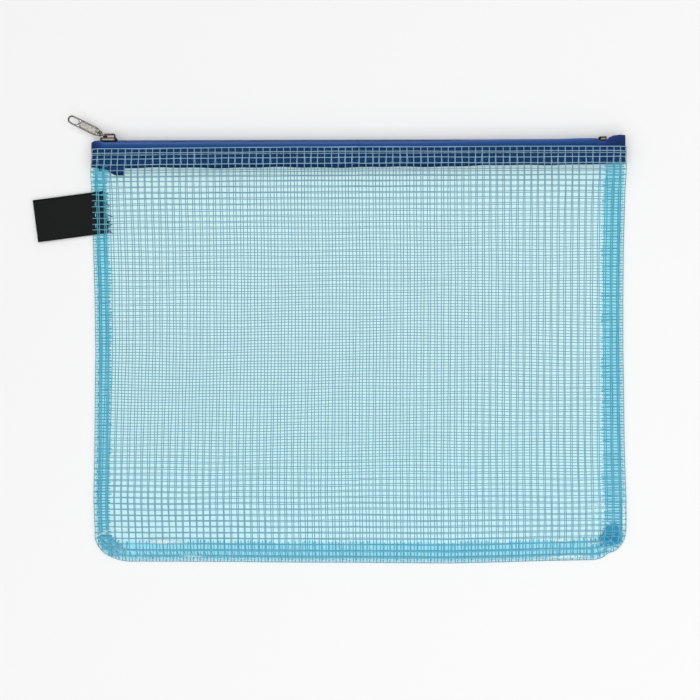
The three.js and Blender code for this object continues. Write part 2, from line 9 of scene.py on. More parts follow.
import bpy
import numpy as np
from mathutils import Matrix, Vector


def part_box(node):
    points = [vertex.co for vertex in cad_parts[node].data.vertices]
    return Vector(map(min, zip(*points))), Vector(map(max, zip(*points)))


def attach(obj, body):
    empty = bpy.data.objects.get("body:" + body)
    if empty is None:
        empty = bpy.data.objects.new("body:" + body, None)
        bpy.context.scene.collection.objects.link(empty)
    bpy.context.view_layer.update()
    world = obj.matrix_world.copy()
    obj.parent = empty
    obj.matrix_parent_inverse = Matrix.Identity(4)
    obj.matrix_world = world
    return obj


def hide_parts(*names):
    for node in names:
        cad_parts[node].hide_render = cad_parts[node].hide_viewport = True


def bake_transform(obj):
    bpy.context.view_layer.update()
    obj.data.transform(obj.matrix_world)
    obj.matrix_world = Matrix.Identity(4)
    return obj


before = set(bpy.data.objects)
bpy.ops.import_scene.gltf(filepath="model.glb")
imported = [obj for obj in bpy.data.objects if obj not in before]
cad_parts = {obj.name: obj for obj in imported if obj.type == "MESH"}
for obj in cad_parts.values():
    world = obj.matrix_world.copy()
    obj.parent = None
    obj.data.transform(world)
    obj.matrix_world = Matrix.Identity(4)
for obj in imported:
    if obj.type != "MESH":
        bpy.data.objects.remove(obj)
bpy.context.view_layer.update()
MM = 0.001
panel_low, panel_high = (np.array(corner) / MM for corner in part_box("front_panel"))
print("front wall", panel_low.round(2), "to", panel_high.round(2), "mm")

# %% [markdown]
# The photograph looks straight down on the bag as it lies on its back. A long lens from
# three quarters of a metre keeps the sides square.

# %% Camera
CAMERA_AT = (-4.465, 0.47, 782)
CAMERA_TURN = -0.17
LENS = 85

camera_data = bpy.data.cameras.new("camera")
camera_data.lens = LENS
camera = bpy.data.objects.new("camera", camera_data)
camera.location = [value * MM for value in CAMERA_AT]
camera.rotation_euler = (0, 0, math.radians(CAMERA_TURN))
bpy.context.scene.collection.objects.link(camera)
bpy.context.scene.camera = camera
bpy.context.scene.view_settings.view_transform = "Standard"

# %% [markdown]
# Colours are written as sRGB hex values, as they look on screen, and one function turns them
# to the linear values that shaders need. One small function adds any shader node, with its
# settings, its constants and what feeds it, so that a material reads as a list of its steps.


# %% Colour and node helpers
def paint(code):
    """Linear colour of an sRGB hex code: c / 12.92 below 0.04045, else ((c + 0.055) / 1.055)
    to the power 2.4."""
    channels = [int(code[i : i + 2], 16) / 255 for i in (1, 3, 5)]
    linear = [c / 12.92 if c <= 0.04045 else ((c + 0.055) / 1.055) ** 2.4 for c in channels]
    return (*linear, 1.0)


def add_node(tree, kind, values=None, **settings):
    """Adds a node to a tree. settings are its properties. values gives each socket, by name or
    number, a constant, the output that feeds it, or a node whose first output does."""
    node = tree.nodes.new(kind)
    for key, value in settings.items():
        setattr(node, key, value)
    for key, value in (values or {}).items():
        if isinstance(value, bpy.types.Node):
            value = value.outputs[0]
        if isinstance(value, bpy.types.NodeSocket):
            tree.links.new(value, node.inputs[key])
        else:
            node.inputs[key].default_value = value
    return node


def new_material(name):
    """An empty node material and its tree."""
    material = bpy.data.materials.new(name)
    material.use_nodes = True
    material.node_tree.nodes.clear()
    return material, material.node_tree


# %% [markdown]
# The bag lies on a plain white sweep in even light. A broad sun with a wide angle gives soft
# shade without a falloff, and two thin bright strips at the bottom and the right draw the
# glints on creases. The sky is brightest overhead, which lights flat metal and leaves almost
# no shade on the floor, and dark at the horizon, so that rounded metal and folds get dark
# edges as they do in a studio.

# %% Floor, sky and lamps
FLOOR_SIZE = 6000
FLOOR_DROP = 0.05
BACKGROUND = "#f6f6f6"
ZENITH_LEVEL = 2.1
ZENITH_FROM = (0.8, 0.93)
RING_LEVEL = 0.365
RING_FROM = (0.05, 0.5)
HORIZON_LEVEL = 0.15
SUN_STRENGTH = 0.4
SUN_ANGLE = 40
SUN_TILT = (10, -38)
# Where each strip hangs, in millimetres, and the way it faces, in degrees.
STRIPS = {
    "bottom strip": ((40, -640, 900), 0),
    "right strip": ((640, -60, 900), 90),
}
STRIP_SIZE = (700, 45)
STRIP_POWER = 1.1


def floor_material():
    """Matt white paper. Its colour is the background that the camera sees."""
    material, tree = new_material("matt white paper")
    paper = add_node(tree, "ShaderNodeBsdfDiffuse", {"Color": paint(BACKGROUND)})
    add_node(tree, "ShaderNodeOutputMaterial", {"Surface": paper})
    return material


def build_sky():
    """Light from a bright zenith over a plain ring to a dark horizon, eased by height. The
    camera sees the plain background instead, where it looks past the floor."""
    world = bpy.data.worlds.new("studio")
    world.use_nodes = True
    tree = world.node_tree
    tree.nodes.clear()
    way = add_node(tree, "ShaderNodeTexCoord").outputs["Generated"]
    height = add_node(tree, "ShaderNodeSeparateXYZ", {0: way}).outputs["Z"]
    eased = {"interpolation_type": "SMOOTHSTEP"}
    low = {0: height, 1: RING_FROM[0], 2: RING_FROM[1], 3: HORIZON_LEVEL, 4: RING_LEVEL}
    rise = add_node(tree, "ShaderNodeMapRange", low, **eased)
    high = {0: height, 1: ZENITH_FROM[0], 2: ZENITH_FROM[1], 3: rise, 4: ZENITH_LEVEL}
    light = add_node(tree, "ShaderNodeMapRange", high, **eased)
    sky = add_node(tree, "ShaderNodeBackground", {"Color": (1, 1, 1, 1), "Strength": light})
    plain = add_node(tree, "ShaderNodeBackground", {"Color": paint(BACKGROUND)})
    seen = add_node(tree, "ShaderNodeLightPath").outputs["Is Camera Ray"]
    mix = add_node(tree, "ShaderNodeMixShader", {0: seen, 1: sky, 2: plain})
    add_node(tree, "ShaderNodeOutputWorld", {"Surface": mix})
    bpy.context.scene.world = world


def add_lamp(name, kind, place, turn, **settings):
    """A lamp at a place in millimetres, turned by angles in degrees."""
    data = bpy.data.lights.new(name, kind)
    for key, value in settings.items():
        setattr(data, key, value)
    lamp = bpy.data.objects.new(name, data)
    lamp.location = [value * MM for value in place]
    lamp.rotation_euler = [math.radians(angle) for angle in turn]
    bpy.context.scene.collection.objects.link(lamp)


half_floor = FLOOR_SIZE / 2 * MM
floor_mesh = bpy.data.meshes.new("floor")
corners = [(-1, -1), (1, -1), (1, 1), (-1, 1)]
floor_points = [(x * half_floor, y * half_floor, -FLOOR_DROP * MM) for x, y in corners]
floor_mesh.from_pydata(floor_points, [], [(0, 1, 2, 3)])
floor_mesh.materials.append(floor_material())
floor = bpy.data.objects.new("floor", floor_mesh)
bpy.context.scene.collection.objects.link(floor)
build_sky()
sun_turn = (*SUN_TILT, 0)
strip = {"shape": "RECTANGLE", "size": STRIP_SIZE[0] * MM, "size_y": STRIP_SIZE[1] * MM}
for strip_name, (place, heading) in STRIPS.items():
    lean = math.degrees(math.atan2(math.hypot(*place[:2]), place[2]))
    add_lamp(strip_name, "AREA", place, (lean, 0, heading), energy=STRIP_POWER, **strip)
add_lamp("sun", "SUN", (0, 0, 1000), sun_turn, energy=SUN_STRENGTH, angle=math.radians(SUN_ANGLE))

# %% [markdown]
# The sizes below are the bag's own, in millimetres. The outline and the rise of the front
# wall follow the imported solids, and the small waves in them follow the photograph.

# %% Sizes
HALF = float(panel_high[0])
BOTTOM = float(panel_low[1])
FILM = 0.4
CORNER_RUN = 17
CORNER_RISE = 12.5
SEAM_TOP = 2.1
CAVITY_TOP = 5.2
SIDE_RISE = 26
BOTTOM_RISE = 30
TOP_RISE = 36
TOP_CORNER_RISE = 12
EDGE_ROLL = 1.3
EDGE_ROLL_AT_HEM = 3.6
ROLL_STEPS = 5
SEAM_Z = 1.3
BOTTOM_EDGE = 8.2

HEM_SET_BACK = 0.23
HEM_HEIGHT = 9.45
HEM_TOP = float(panel_high[1]) - HEM_SET_BACK
HEM_BOTTOM = HEM_TOP - HEM_HEIGHT
HEM_UNDER = float(panel_high[2]) - FILM
HEM_INNER = 7.4
FOLD_RADIUS = 0.2
HEM_TURN = math.pi * FOLD_RADIUS
WALL_LENGTH = HEM_TOP - FOLD_RADIUS - BOTTOM
CLOTH_LENGTH = WALL_LENGTH + HEM_TURN + HEM_INNER

CHAIN_Z = 5.1
COIL_RISE = 3.6
COIL_THICK = 1.1
COIL_TOP = float(panel_high[1]) + COIL_RISE
TAPE_FACE = COIL_TOP - COIL_THICK

WARP_PITCH = 3.2
WARP_WIDTH = 0.4
WARP_DRAWN = 0.35
WEFT_PITCH = 2.75
WEFT_WIDTH = 0.36
WEFT_BELOW_FOLD = 2.0
WEFTS_IN_HEM = (-0.17, 0.17, 3.1)
LOWEST_WEFT = 0.6
NET_MARGIN = 0.3
THREAD_HEIGHT = 0.24
WEAVE_LIFT = 0.06
# Shares of the height or the half width over which each follows the rolled rim.
FILM_RIM = 0.011
WARP_RIM = 0.006
WEFT_RIM = 0.0105
NET_SEED = 11
SEAM_NET_SEED = 5

AXIS_X, AXIS_Y, AXIS_Z = np.eye(3)

# %% [markdown]
# Every soft piece is a grid of points worked out as whole arrays. A grid becomes quads, and
# threads become thin tubes, all of a kind in one mesh, so that thousands of faces take one
# call each.


# %% Mesh helpers
def smooth(t):
    """Ease from 0 to 1: 3t² - 2t³, with t cut to that range."""
    t = np.clip(t, 0, 1)
    return t * t * (3 - 2 * t)


def blend_to(low, high, share):
    """The value a share of the way from low to high."""
    return low + (high - low) * share


def make_mesh(name, arrays, material, uv=None):
    """A smooth-shaded mesh object from two arrays: points in millimetres and quads of corner
    numbers. uv gives each point its place on the cloth, also in millimetres."""
    points, quads = arrays[0].reshape(-1, 3), arrays[1]
    mesh = bpy.data.meshes.new(name)
    mesh.vertices.add(len(points))
    mesh.vertices.foreach_set("co", (points * MM).astype(np.float32).ravel())
    mesh.loops.add(quads.size)
    mesh.loops.foreach_set("vertex_index", quads.astype(np.int32).ravel())
    mesh.polygons.add(len(quads))
    mesh.polygons.foreach_set("loop_start", np.arange(0, quads.size, 4, dtype=np.int32))
    mesh.update(calc_edges=True)
    mesh.validate()
    mesh.shade_smooth()
    if uv is not None:
        layer = mesh.uv_layers.new(name="UVMap")
        corners = uv.reshape(-1, 2)[quads.ravel()]
        layer.data.foreach_set("uv", corners.astype(np.float32).ravel())
    mesh.materials.append(material)
    piece = bpy.data.objects.new(name, mesh)
    bpy.context.scene.collection.objects.link(piece)
    print(f"{name}: {len(points)} points, {len(quads)} faces")
    return piece


def net_piece(name, parts, material):
    """A net from several sets of threads. It lies inside the film and casts no shadow or
    bounced light of its own, which would darken the film twice."""
    piece = make_mesh(name, join_arrays(parts), material)
    piece.visible_shadow = False
    piece.visible_diffuse = False
    return piece


def grid_quads(rows, columns, flip=False, closed=False):
    """Quads of a grid of rows × columns points. A face whose columns run right and rows run
    up looks towards the reader, and away from the reader with flip. closed joins the last
    column to the first."""
    number = np.arange(rows * columns).reshape(rows, columns)
    if closed:
        number = np.concatenate([number, number[:, :1]], axis=1)
    a, b = number[:-1, :-1], number[:-1, 1:]
    c, d = number[1:, 1:], number[1:, :-1]
    quads = np.stack([a, b, c, d], axis=-1).reshape(-1, 4)
    return quads[:, ::-1] if flip else quads


def swept_quads(rows, columns):
    """Quads of a closed section of so many points, swept over rows and capped at each end."""
    k = np.arange(columns // 2 - 1)
    cap = np.stack([k, k + 1, columns - 2 - k, columns - 1 - k], axis=-1)
    walls = grid_quads(rows, columns, closed=True)
    return np.concatenate([walls, cap[:, ::-1], cap + (rows - 1) * columns])


def unit(vectors):
    """The vectors made one long."""
    return vectors / np.maximum(np.linalg.norm(vectors, axis=-1, keepdims=True), 1e-12)


def thicken(line, half):
    """Closed section round a line in the plane, set off square to it by half the thickness,
    out along one side and back along the other, and how far along the line each point is."""
    along = unit(np.gradient(line, axis=0))
    normal = np.stack([-along[:, 1], along[:, 0]], axis=-1)
    aside = normal * np.broadcast_to(half, len(line))[:, None]
    steps = np.linalg.norm(np.diff(line, axis=0), axis=1)
    length = np.concatenate([[0], np.cumsum(steps)])
    section = np.concatenate([line + aside, (line - aside)[::-1]])
    return section, np.concatenate([length, length[::-1]])


def tube_arrays(paths, side, width, height, sides=6):
    """Points and quads of closed tubes along paths, shape (tubes, steps, 3). The section is
    an ellipse: the path's point plus side × width/2 × cos a plus up × height/2 × sin a, with
    up square to the path and to side. The width may differ from step to step. Each end is
    capped."""
    count, steps = paths.shape[:2]
    width = np.broadcast_to(width, (count, steps))[:, :, None, None]
    along = unit(np.gradient(paths, axis=1))
    up = unit(np.cross(np.broadcast_to(side, paths.shape), along))
    across = np.cross(along, up)
    angle = (np.arange(sides) * 2 * np.pi / sides)[None, None, :, None]
    wide = across[:, :, None] * np.cos(angle) * width / 2
    high = up[:, :, None] * np.sin(angle) * height / 2
    points = paths[:, :, None] + wide + high
    number = np.arange(count * steps * sides).reshape(count, steps, sides)
    turned = np.roll(number, -1, axis=2)
    walls = [number[:, :-1], number[:, 1:], turned[:, 1:], turned[:, :-1]]
    quads = [np.stack(walls, axis=-1).reshape(-1, 4)]
    for first in range(1, sides - 2, 2):
        cap = [0, first, first + 1, first + 2]
        quads += [number[:, 0][:, cap], number[:, -1][:, cap[::-1]]]
    return points, np.concatenate(quads)


def thread_tubes(paths, width):
    """Flat-lying threads: side is level and square to each path."""
    along = unit(np.gradient(paths, axis=1))
    return tube_arrays(paths, unit(np.cross(along, AXIS_Z)), width, THREAD_HEIGHT, sides=4)


def join_arrays(parts):
    """One set of points and quads from several."""
    points = [some.reshape(-1, 3) for some, _ in parts]
    starts = np.cumsum([0] + [len(some) for some in points])
    quads = [some + start for (_, some), start in zip(parts, starts)]
    return np.concatenate(points), np.concatenate(quads)


# %% [markdown]
# The front wall lies on the seams at the sides and the bottom, swells to a level middle and
# climbs to the zipper tape. Near the outline it rolls over and down to the seam, where it
# meets the back wall. A few slow waves keep it from looking pressed, and the outline bows a
# little as the sewn bag's does.


# %% Shape of the walls
# How far the outline stands out: heights along a side, or places along the bottom, and the
# distance at each.
LEFT_BOW = [
    (-100, -84, -70, -47, 0, 28, 45, 76, 84, 95),
    (0.2, 0.3, 0.8, 0.3, -0.3, 0.0, 0.5, 1.35, 1.3, 0.5),
]
RIGHT_BOW = [
    (-100, -89, -84, -70, -47, 0, 24, 47, 77, 95),
    (0.1, 0.4, 0.8, 0.8, 0.1, -0.4, -0.4, -0.1, 0.8, 0.8),
]
BOTTOM_BOW = [
    (-122, -108, -75, -28, 0, 42, 66, 90, 113),
    (0.4, 0.3, 0.15, -0.4, -0.55, -1.0, -0.55, 0.1, 0.4),
]


def half_width(y):
    """Half the bag's width at height y: straight sides above elliptical bottom corners."""
    up = np.clip((y - BOTTOM) / CORNER_RISE, 0, 1)
    return HALF - CORNER_RUN * (1 - np.sqrt(1 - (1 - up) ** 2))


def edge_distance(x, y):
    """How far a point lies inside the outline: from the nearest side or the bottom, or in a
    corner about (1 - q) × the mean corner size, with q = 1 on the corner's ellipse."""
    straight = np.minimum(HALF - np.abs(x), y - BOTTOM)
    a = np.clip((np.abs(x) - (HALF - CORNER_RUN)) / CORNER_RUN, 0, None)
    b = np.clip((BOTTOM + CORNER_RISE - y) / CORNER_RISE, 0, None)
    corner = (1 - np.hypot(a, b)) * (CORNER_RUN + CORNER_RISE) / 2
    return np.where((a > 0) & (b > 0), np.minimum(straight, corner), straight)


def climb(y, rise):
    """How far the wall has climbed to the hem at height y, from 0 to 1."""
    return smooth((y - HEM_BOTTOM) / rise + 1)


def seam_middle(y):
    """Height at which front and back wall meet: low along the sides, and at the middle of
    the zipper beside the hem."""
    return blend_to(SEAM_Z, CHAIN_Z, climb(y, TOP_CORNER_RISE))


def roll(x, y):
    """Share of its full height that a wall has near the outline: a quarter circle."""
    size = blend_to(EDGE_ROLL, EDGE_ROLL_AT_HEM, climb(y, TOP_CORNER_RISE))
    near = np.clip(edge_distance(x, y) / size, 0, 1)
    return np.sqrt(1 - (1 - near) ** 2)


def seam_step(x, y):
    """How far the front film steps down where it meets the turned-in edge of the bottom
    seam: a short slope, deeper towards the corners and uneven along it."""
    uneven = 0.6 + 0.25 * np.sin(x / 6.1 + 0.4) + 0.15 * np.sin(x / 2.3)
    depth = 0.35 + 0.75 * smooth((np.abs(x) - 55) / 35)
    line = BOTTOM + BOTTOM_EDGE + 1.6 + 0.5 * np.sin(x / 17)
    return depth * uneven * (1 - smooth((y - line + 1.8) / 3.6)) * smooth((y - BOTTOM) / 3)


def front_height(x, y):
    """Middle of the front film: eased from the seams to the level middle and up to the hem,
    with two slow waves and a step at the bottom seam, then rolled down at the outline."""
    edge = blend_to(SEAM_TOP, HEM_UNDER, climb(y, TOP_CORNER_RISE))
    body = blend_to(CAVITY_TOP, HEM_UNDER, climb(y, TOP_RISE))
    inward = smooth((half_width(y) - np.abs(x)) / SIDE_RISE)
    upward = smooth((y - BOTTOM) / BOTTOM_RISE)
    lift = blend_to(SEAM_TOP, blend_to(edge, body, inward), upward)
    calm = smooth(edge_distance(x, y) / 30) * (1 - climb(y, TOP_RISE))
    waves = 0.22 * np.sin(x / 21 + 1.1) * np.sin(y / 27 + 0.5) + 0.12 * np.sin((x + 2 * y) / 31)
    raised = 0.8 * smooth((y - BOTTOM - 4) / 8) * (1 - smooth((y - BOTTOM - 25) / 40))
    height = lift + FILM / 2 + waves * calm + raised - seam_step(x, y)
    middle = seam_middle(y)
    return middle + (height - middle) * roll(x, y)


def back_height(x, y):
    """Middle of the back film: flat on the table, rolled up at the outline."""
    middle = seam_middle(y)
    return middle + (FILM / 2 - middle) * roll(x, y)


def settle(x, y, z):
    """Points of the cloth, moved a little in the plane as the sewn bag is: its sides and its
    bottom bow in and out, the right corner has a notch where a pleat draws it in, threads
    wander, and the hem sinks a little towards the left end."""
    out = np.abs(x / HALF) ** 3 * np.sign(x)
    bow = np.where(x > 0, np.interp(y, *RIGHT_BOW), np.interp(y, *LEFT_BOW))
    calm = smooth((HEM_BOTTOM - 4 - y) / 40) * smooth((y - BOTTOM - 6) / 30)
    shift = 0.45 * np.sin(x / 33 + 0.7) * np.sin(y / 41 + 1.9) + 0.16 * np.sin((x - y) / 9.5)
    drift = 0.3 * np.sin(y / 37 + 0.4) * smooth((HALF - np.abs(x)) / 20)
    sag = np.interp(x, *BOTTOM_BOW) * smooth((-70 - y) / 29)
    drawn = 0.25 * np.exp(-((x - 121) ** 2 + (y + 93) ** 2) / 40)
    notch = 1.15 * np.exp(-((x - 117.2) ** 2) / 4.5 - (y + 95.5) ** 2 / 30)
    sink = 0.55 * smooth((-25 - x) / 90) * smooth((y - 75) / 14)
    across = x + bow * out + drift * calm - 0.6 * drawn
    up = y + shift * calm + sag + drawn + notch - sink
    return np.stack([across, up, z + 0 * x], axis=-1)


def cloth_row(t, up):
    """Height y along the wall and drop in z for a place t on the cloth, measured from the
    bottom. Past the hem's fold, a half circle, the cloth runs back down inside. up is 1
    where the fold goes towards the back wall and -1 where it goes towards the front."""
    turn = np.clip(t - WALL_LENGTH, 0, HEM_TURN) / FOLD_RADIUS
    back = np.maximum(t - WALL_LENGTH - HEM_TURN, 0)
    y = BOTTOM + np.minimum(t, WALL_LENGTH) + FOLD_RADIUS * np.sin(turn) - back
    return y, -up * FOLD_RADIUS * (1 - np.cos(turn))


def front_sheet(x, t):
    """Point of the front cloth at x across and t along it."""
    y, drop = cloth_row(t, 1)
    return settle(x, y, front_height(x, y) + drop * roll(x, y))


def back_sheet(x, t):
    """Point of the back cloth at x across and t along it."""
    y, drop = cloth_row(t, -1)
    return settle(x, y, back_height(x, y) + drop * roll(x, y))


def stations(start, end, count, rolled=EDGE_ROLL):
    """Places from start to end, closer over the rolled edge at start: its angle goes up in
    equal steps."""
    angle = np.linspace(0, np.pi / 2, ROLL_STEPS + 1)[:-1]
    rim = start + rolled * (1 - np.cos(angle))
    return np.concatenate([rim, np.linspace(start + rolled, end, count)])


def hem_stations():
    """Places on the cloth over the hem: up to the fold, round it and down inside."""
    turn = WALL_LENGTH + HEM_TURN * np.linspace(0, 1, 6)
    inside = np.linspace(WALL_LENGTH + HEM_TURN, CLOTH_LENGTH, 7)[1:]
    return np.concatenate([turn, inside])


print("cloth length", round(CLOTH_LENGTH, 1), "mm, hem turned", HEM_INNER, "mm")

# %% [markdown]
# The film is soft PVC sheet, pressed by rollers on both sides of a thin net of polyester
# thread. It is see-through with a cyan tint that deepens where layers pile up, so the colour
# is a filter on what lies behind and not paint. A plain see-through shader with a tinted
# colour does that. A little of the surface is milky, and a gloss coat grows towards the
# edges as on any plastic.

# %% Film and net materials
FILM_TINT = "#f5feff"
DEEP_TINT = "#f1fdff"
SEAM_TINT = "#ebfcff"
SEAM_DEEP_TINT = "#f1fcff"
FILM_MILK = "#2aa4d6"
MILK_SHARE = 0.006
SEAM_MILK_SHARE = 0.014
FILM_MIRROR = 0.002
# Colour of the painted highlights at creases.
GLINT_PAINT_WHITE = "#e9fbff"
SLACK_FROM = (-75, 20)
# Spots of a pattern in a metre: dents 3.8 mm apart, flecks 1.1 mm, shades of thread 5.6 mm.
DENTS_PER_M = 260.0
FLECKS_PER_M = 900.0
SHADES_PER_M = 180.0
NET_COLOUR = "#8ab7ca"
NET_DARK = "#769ca9"
NET_AT_SEAM = "#65aec7"
NET_AT_HEM = "#94bbd9"
SEAM_NET = "#7cc0d3"
SEAM_NET_DARK = "#5aa5bb"
SEAM_NET_LEFT = "#5cafc6"
SEAM_NET_LOW = "#83bfd0"
RIB_PALE = "#b0dfec"
RIB_DEEP = "#257b9c"
BLOT_PALE = "#2596bb"
BLOT_DEEP = "#006792"
BLOT_RIM = "#45a2c0"
RIM_PALE = "#7fb3bf"
RIM_DEEP = "#4f8d9b"
# Painted highlights at sharp creases in the film: place x and y, turn, half length, half
# width and strength.
PAINTED_CREASE_GLINTS = [
    (-92.6, -89.7, -1, 12.5, 1.5, 1.2),
    (-79.0, -96.5, -2, 7.5, 0.6, 1.3),
    (-120.8, -85.3, 25, 5.5, 0.55, 1.1),
    (-112.6, -83.2, 2, 6.0, 0.7, 0.9),
    (-104.3, -97.0, 40, 2.6, 1.0, 0.6),
    (115.8, -80.8, -37, 2.8, 0.5, 1.8),
    (111.4, -74.0, 0, 6.5, 3.2, 0.5),
    (112.6, -71.7, 0, 4.0, 0.6, 1.1),
    (124.3, -78.3, 90, 9.5, 0.8, 1.7),
    (98.0, -97.4, 2, 13.0, 0.9, 1.7),
    (94.1, -89.5, 0, 4.2, 1.2, 0.8),
    (111.2, -90.9, 8, 5.2, 0.6, 1.1),
]
GLINT_PAINT_SHARE = 0.8


def painted_glint_mask(tree, place):
    """Sum of soft oval spots of painted highlight, one to a crease: 1 - r inside the unit circle
    of its own axes, times its strength. The sum is cut at 1."""
    total = 0.0
    for x, y, turn, half_length, half_width, strength in PAINTED_CREASE_GLINTS:
        own = {
            "Vector": place,
            "Location": (x * MM, y * MM, 0),
            "Rotation": (0, 0, math.radians(turn)),
            "Scale": (half_length * MM, half_width * MM, 1),
        }
        oval = {"Vector": add_node(tree, "ShaderNodeMapping", own, vector_type="TEXTURE")}
        spot = add_node(tree, "ShaderNodeTexGradient", oval, gradient_type="SPHERICAL")
        more = {0: spot.outputs[1], 1: strength, 2: total}
        total = add_node(tree, "ShaderNodeMath", more, operation="MULTIPLY_ADD")
    return add_node(tree, "ShaderNodeClamp", {0: total})


def film_material(name, tints, milk_share, painted_glints=False):
    """Calendered PVC film: tinted and clear, with a soft gloss. The tint deepens towards the
    bottom, where the film is slack. The gloss share is F + (1 - F) × facing⁵, where facing
    is 0 head on and 1 along the surface. At sharp creases, white diffuse spots broken up by
    noise are painted highlights for their glints."""
    material, tree = new_material(name)
    place = add_node(tree, "ShaderNodeTexCoord").outputs["Object"]
    noise = {"Vector": place, "Scale": DENTS_PER_M, "Detail": 2.0}
    uneven = add_node(tree, "ShaderNodeTexNoise", noise)
    bump = {"Height": uneven, "Distance": 0.25 * MM, "Strength": 0.35}
    dents = add_node(tree, "ShaderNodeBump", bump)
    height = add_node(tree, "ShaderNodeSeparateXYZ", {0: place}).outputs["Y"]
    slack = {0: height, 1: SLACK_FROM[0] * MM, 2: SLACK_FROM[1] * MM}
    level = add_node(tree, "ShaderNodeMapRange", slack)
    ends = {0: level, 6: paint(tints[0]), 7: paint(tints[1])}
    tint = add_node(tree, "ShaderNodeMix", ends, data_type="RGBA").outputs[2]
    clear = add_node(tree, "ShaderNodeBsdfTransparent", {"Color": tint})
    milk = add_node(tree, "ShaderNodeBsdfDiffuse", {"Color": paint(FILM_MILK)})
    body = add_node(tree, "ShaderNodeMixShader", {0: milk_share, 1: clear, 2: milk})
    # Painted highlights at the creases: white diffuse spots over the film.
    if painted_glints:
        grain = {"Vector": place, "Scale": FLECKS_PER_M, "Detail": 2.0}
        broken = add_node(tree, "ShaderNodeTexNoise", grain)
        spread = {0: broken, 1: 0.3, 2: 0.5, 4: GLINT_PAINT_SHARE}
        both = {0: painted_glint_mask(tree, place), 1: add_node(tree, "ShaderNodeMapRange", spread)}
        share = add_node(tree, "ShaderNodeMath", both, operation="MULTIPLY")
        painted_glint = add_node(tree, "ShaderNodeBsdfDiffuse", {"Color": paint(GLINT_PAINT_WHITE)})
        body = add_node(tree, "ShaderNodeMixShader", {0: share, 1: body, 2: painted_glint})
    gloss = add_node(tree, "ShaderNodeBsdfGlossy", {"Roughness": 0.15, "Normal": dents})
    facing = add_node(tree, "ShaderNodeLayerWeight", {"Blend": 0.5}).outputs["Facing"]
    edge = add_node(tree, "ShaderNodeMath", {0: facing, 1: 5.0}, operation="POWER")
    scale = {0: edge, 1: 1 - FILM_MIRROR, 2: FILM_MIRROR}
    coat = add_node(tree, "ShaderNodeMath", scale, operation="MULTIPLY_ADD")
    mix = add_node(tree, "ShaderNodeMixShader", {0: coat, 1: body, 2: gloss})
    add_node(tree, "ShaderNodeOutputMaterial", {"Surface": mix})
    return material


def net_material(name, dark, light, regions=()):
    """Polyester net thread under the film's skin: satin, a little uneven in shade. In each
    region, given as an axis, where it starts, where it is full and a colour, the thread takes
    on the look of what lies behind it."""
    material, tree = new_material(name)
    place = add_node(tree, "ShaderNodeTexCoord").outputs["Object"]
    noise = {"Vector": place, "Scale": SHADES_PER_M, "Detail": 3.0}
    uneven = add_node(tree, "ShaderNodeTexNoise", noise)
    ends = {0: uneven, 6: paint(dark), 7: paint(light)}
    shade = add_node(tree, "ShaderNodeMix", ends, data_type="RGBA").outputs[2]
    axes = add_node(tree, "ShaderNodeSeparateXYZ", {0: place})
    for axis, start, full, colour in regions:
        share = {0: axes.outputs[axis], 1: start * MM, 2: full * MM}
        inside = add_node(tree, "ShaderNodeMapRange", share)
        other = {0: inside, 6: shade, 7: paint(colour)}
        shade = add_node(tree, "ShaderNodeMix", other, data_type="RGBA").outputs[2]
    look = {"Base Color": shade, "Roughness": 0.42, "Specular IOR Level": 0.2}
    thread = add_node(tree, "ShaderNodeBsdfPrincipled", look)
    add_node(tree, "ShaderNodeOutputMaterial", {"Surface": thread})
    return material


NET_REGIONS = [
    ("X", -117, -120, NET_AT_SEAM),
    ("X", 110, 115, NET_AT_SEAM),
    ("Y", -88.5, -92, NET_AT_SEAM),
    ("Y", HEM_BOTTOM - 1, HEM_BOTTOM + 1.5, NET_AT_HEM),
]
wall_tints = (DEEP_TINT, FILM_TINT)
film = film_material("calendered blue PVC film", wall_tints, MILK_SHARE)
glint_painted_film = film_material("blue PVC film with painted glints", wall_tints, MILK_SHARE, painted_glints=True)
seam_film = film_material("turned-in blue PVC film", (SEAM_DEEP_TINT, SEAM_TINT), SEAM_MILK_SHARE)
rim_film = net_material("blue PVC film seen edge on", RIM_DEEP, RIM_PALE)
net = net_material("laminated polyester thread", NET_DARK, NET_COLOUR, NET_REGIONS)
SEAM_REGIONS = [("X", -108, -113, SEAM_NET_LEFT), ("Y", -88.5, -92, SEAM_NET_LOW)]
seam_net = net_material("thread in doubled film", SEAM_NET_DARK, SEAM_NET, SEAM_REGIONS)

# %% [markdown]
# Each wall is one cloth that runs from the bottom seam up to the hem, over its fold and back
# down inside. The net's upright threads follow the cloth over the fold, and the level
# threads lie across it, so both come from the same function as the film and stay in it. The
# front wall is made as two halves, one each side of the middle: on the bag its ends are sewn
# into the side seams while its middle lifts with the opened mouth.


# %% Film walls and their net
LEFT_HALF = (-1, 0)
RIGHT_HALF = (0, 1)
WHOLE = (-1, 1)


def across_shares(span, count, rim):
    """Places across a wall as shares of the half width, closer over the rolled rim, where
    the angle goes up in equal steps. span is a half or the whole."""
    turn = 1 - np.cos(np.linspace(0, np.pi / 2, ROLL_STEPS + 1))
    half = np.concatenate([np.linspace(0, 1 - rim, count)[:-1], 1 - rim * turn[::-1]])
    if span == WHOLE:
        return np.concatenate([-half[::-1], half[1:]])
    return half if span == RIGHT_HALF else -half[::-1]


def wall_film(name, surface, span, material, flip=False):
    """The film over a half or the whole width, as a grid of rows up the cloth."""
    low_rows = stations(0, CORNER_RISE, 17)
    wall_rows = np.linspace(CORNER_RISE + 3, WALL_LENGTH - 0.5, 60)
    t = np.concatenate([low_rows, wall_rows, hem_stations()])[:, None]
    y, _ = cloth_row(t, 1)
    x = half_width(y) * across_shares(span, 40, FILM_RIM)
    return make_mesh(name, (surface(x, t + 0 * x), grid_quads(*x.shape, flip)), material)


